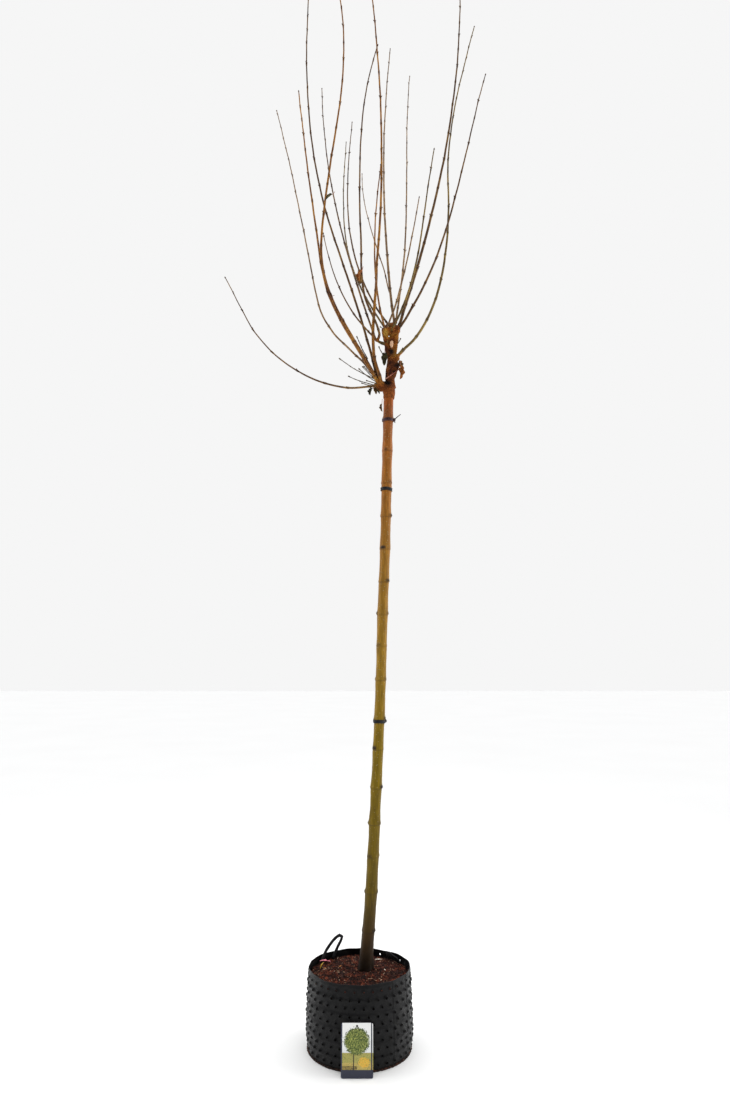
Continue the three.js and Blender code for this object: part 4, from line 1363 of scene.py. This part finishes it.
def label_print():
    """A glossy offset-printed card: a round-headed tree over a meadow, with 4 mm leaf flecks."""
    material, tree, place = new_material("glossy_printed_card")
    low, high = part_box("plant_label")
    parts = add(tree, "ShaderNodeSeparateXYZ", {"Vector": place})
    shares = [add(tree, "ShaderNodeMapRange", {"Value": parts.outputs[axis], "From Min": low[i],
                                               "From Max": high[i]}).outputs["Result"]
              for axis, i in (("X", 0), ("Z", 2))]
    fleck = add(tree, "ShaderNodeTexNoise", {"Vector": place, "Scale": 1 / (4 * MM), "Detail": 3.0,
                                             "Roughness": 0.7}).outputs["Fac"]
    picture = add(tree, "ShaderNodeValToRGB", {"Fac": shares[1]},
                  stops=[(0.3, "e4e8ea"), (0.8, "f4f5f3")]).outputs["Color"]
    for middle, half, square, ragged, tints in LABEL_PICTURE:
        total = add(tree, "ShaderNodeMath", {0: fleck, 1: ragged * 2, 2: -ragged},
                    operation="MULTIPLY_ADD").outputs[0]
        for share, centre, size in zip(shares, middle, half):
            off = add(tree, "ShaderNodeMath", {0: share, 1: centre}, operation="SUBTRACT")
            part = add(tree, "ShaderNodeMath", {0: off.outputs[0], 1: size}, operation="DIVIDE")
            far = add(tree, "ShaderNodeMath", {0: part.outputs[0]}, operation="ABSOLUTE")
            power = add(tree, "ShaderNodeMath", {0: far.outputs[0], 1: square}, operation="POWER")
            total = add(tree, "ShaderNodeMath", {0: total, 1: power.outputs[0]},
                        operation="ADD").outputs[0]
        inside = add(tree, "ShaderNodeMapRange", {"Value": total, "From Min": 0.93, "From Max": 1.07,
                                                  "To Min": 1.0, "To Max": 0.0})
        tint = add(tree, "ShaderNodeValToRGB", {"Fac": fleck},
                   stops=list(zip((0.36, 0.5, 0.64), tints)))
        picture = add(tree, "ShaderNodeMix", {"Factor": inside.outputs["Result"], 6: picture,
                                              7: tint.outputs["Color"]},
                      data_type="RGBA").outputs[2]
    finish_material(tree, Base_Color=picture, Roughness=0.35)
    return material


def make_label(material):
    """The card leaning on the bag, from its frame solid, with its cut edges eased."""
    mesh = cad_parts["plant_label"].data.copy()
    mesh.materials.clear()
    mesh.materials.append(material)
    card = bpy.data.objects.new("picture_card", mesh)
    bpy.context.scene.collection.objects.link(card)
    edge = card.modifiers.new("edges", "BEVEL")
    edge.width = 0.25 * MM
    edge.segments = 2
    bake_modifiers(card)
    give(card, "label_card", "plant_label")


make_camera()
make_stage()
bpy.context.scene.view_settings.view_transform = "Standard"
stem_rows = make_stem(stem_bark())
shoot_materials = {
    "russet": shoot_bark("russet_shoot_bark", "48260c", "80501a", "ad7828"),
    "brown": shoot_bark("brown_shoot_bark", "2e1d0e", "573a18", "83602c"),
    "olive": shoot_bark("olive_shoot_bark", "3c2f17", "66511f", "8f7434"),
    # a paler copy of the shoot bark: painted light for the bright backdrop's glow on the shoots at the back
    "backlit_pale": shoot_bark("backlit_pale_shoot_bark", "58402c", "80623f", "a5845a"),
}
bud_scales = plain_material("bud_scales", ["2a1a12", "4a3020", "6a4a2e"], 90.0, 0.5)
shoot_feet = make_shoots(shoot_materials, bud_scales)
make_head(graft_bark(), shoot_feet)
make_cut_face(plain_material("fresh_cut_wood", ["c98f6e", "dcae8c", "e8c6a4"], 160.0, 0.7))
make_dead_twigs(plain_material("dry_twig_bark", ["3a342c", "5a5042", "7a6e5a"], 120.0, 0.7))
make_dead_leaves([
    plain_material("withered_leaf_dark", ["1c1a10", "33301c", "4a4426"], 60.0, 0.75, 0.001),
    plain_material("withered_leaf_rust", ["6a3a14", "8e5220", "ab6e30"], 60.0, 0.75, 0.001),
    plain_material("withered_leaf_brown", ["33220f", "543a1a", "77582a"], 60.0, 0.75, 0.001),
    plain_material("dry_leaf_stalk", ["7a4034", "96564a", "b07a62"], 60.0, 0.6),
])
tie_tape = plain_material("black_tie_tape", ["101011", "1b1b1c", "29292a"], 60.0, 0.5)
make_tie("tie_lower", tie_tape, 1, 0.4, 0)
make_tie("tie_middle", tie_tape, 2, 2.2, 0)
make_tie("tie_upper", plain_material("faded_tie_tape", ["24161a", "352126", "48303a"], 60.0, 0.5),
         1, -0.25, 34)
film = bag_film()
bag_outline = make_bag(film)
make_base_weld(plain_material("soiled_weld_edge", ["15110f", "241914", "4a2a1e"], 70.0, 0.8), bag_outline)
webbing = plain_material("black_webbing", ["0f0f10", "18181a", "242425"], 200.0, 0.6, 0.001, 0.8)
make_handle("handle_left", webbing)
make_handle("handle_right", webbing)
make_soil({
    "peat": plain_material("moist_peat", ["120603", "200c05", "34160c"], 55.0, 0.9, 0.003, 0.9),
    "bark": plain_material("composted_bark", ["200a05", "42190b", "6a3018"], 40.0, 0.85, 0.001),
    "dark": plain_material("peat_crumbs", ["0e0402", "1e0a05", "33140a"], 40.0, 0.9, 0.001),
    "pale": plain_material("pale_splinters", ["8a5a40", "b08a6a", "d8c2a8"], 40.0, 0.8, 0.001),
})
make_scraps([
    plain_material("pink_petal", ["d8788a", "e88e9c", "f2b4ba"], 90.0, 0.7),
    plain_material("yellow_leaf_scrap", ["c99a2a", "e2bc52", "f0dca0"], 90.0, 0.7),
    plain_material("rust_leaf_scrap", ["8a4a1c", "b06a30", "c98a50"], 90.0, 0.8),
    plain_material("bleached_straw", ["cbb8a0", "e6d8c6", "f4ece0"], 90.0, 0.8),
])
make_label(label_print())
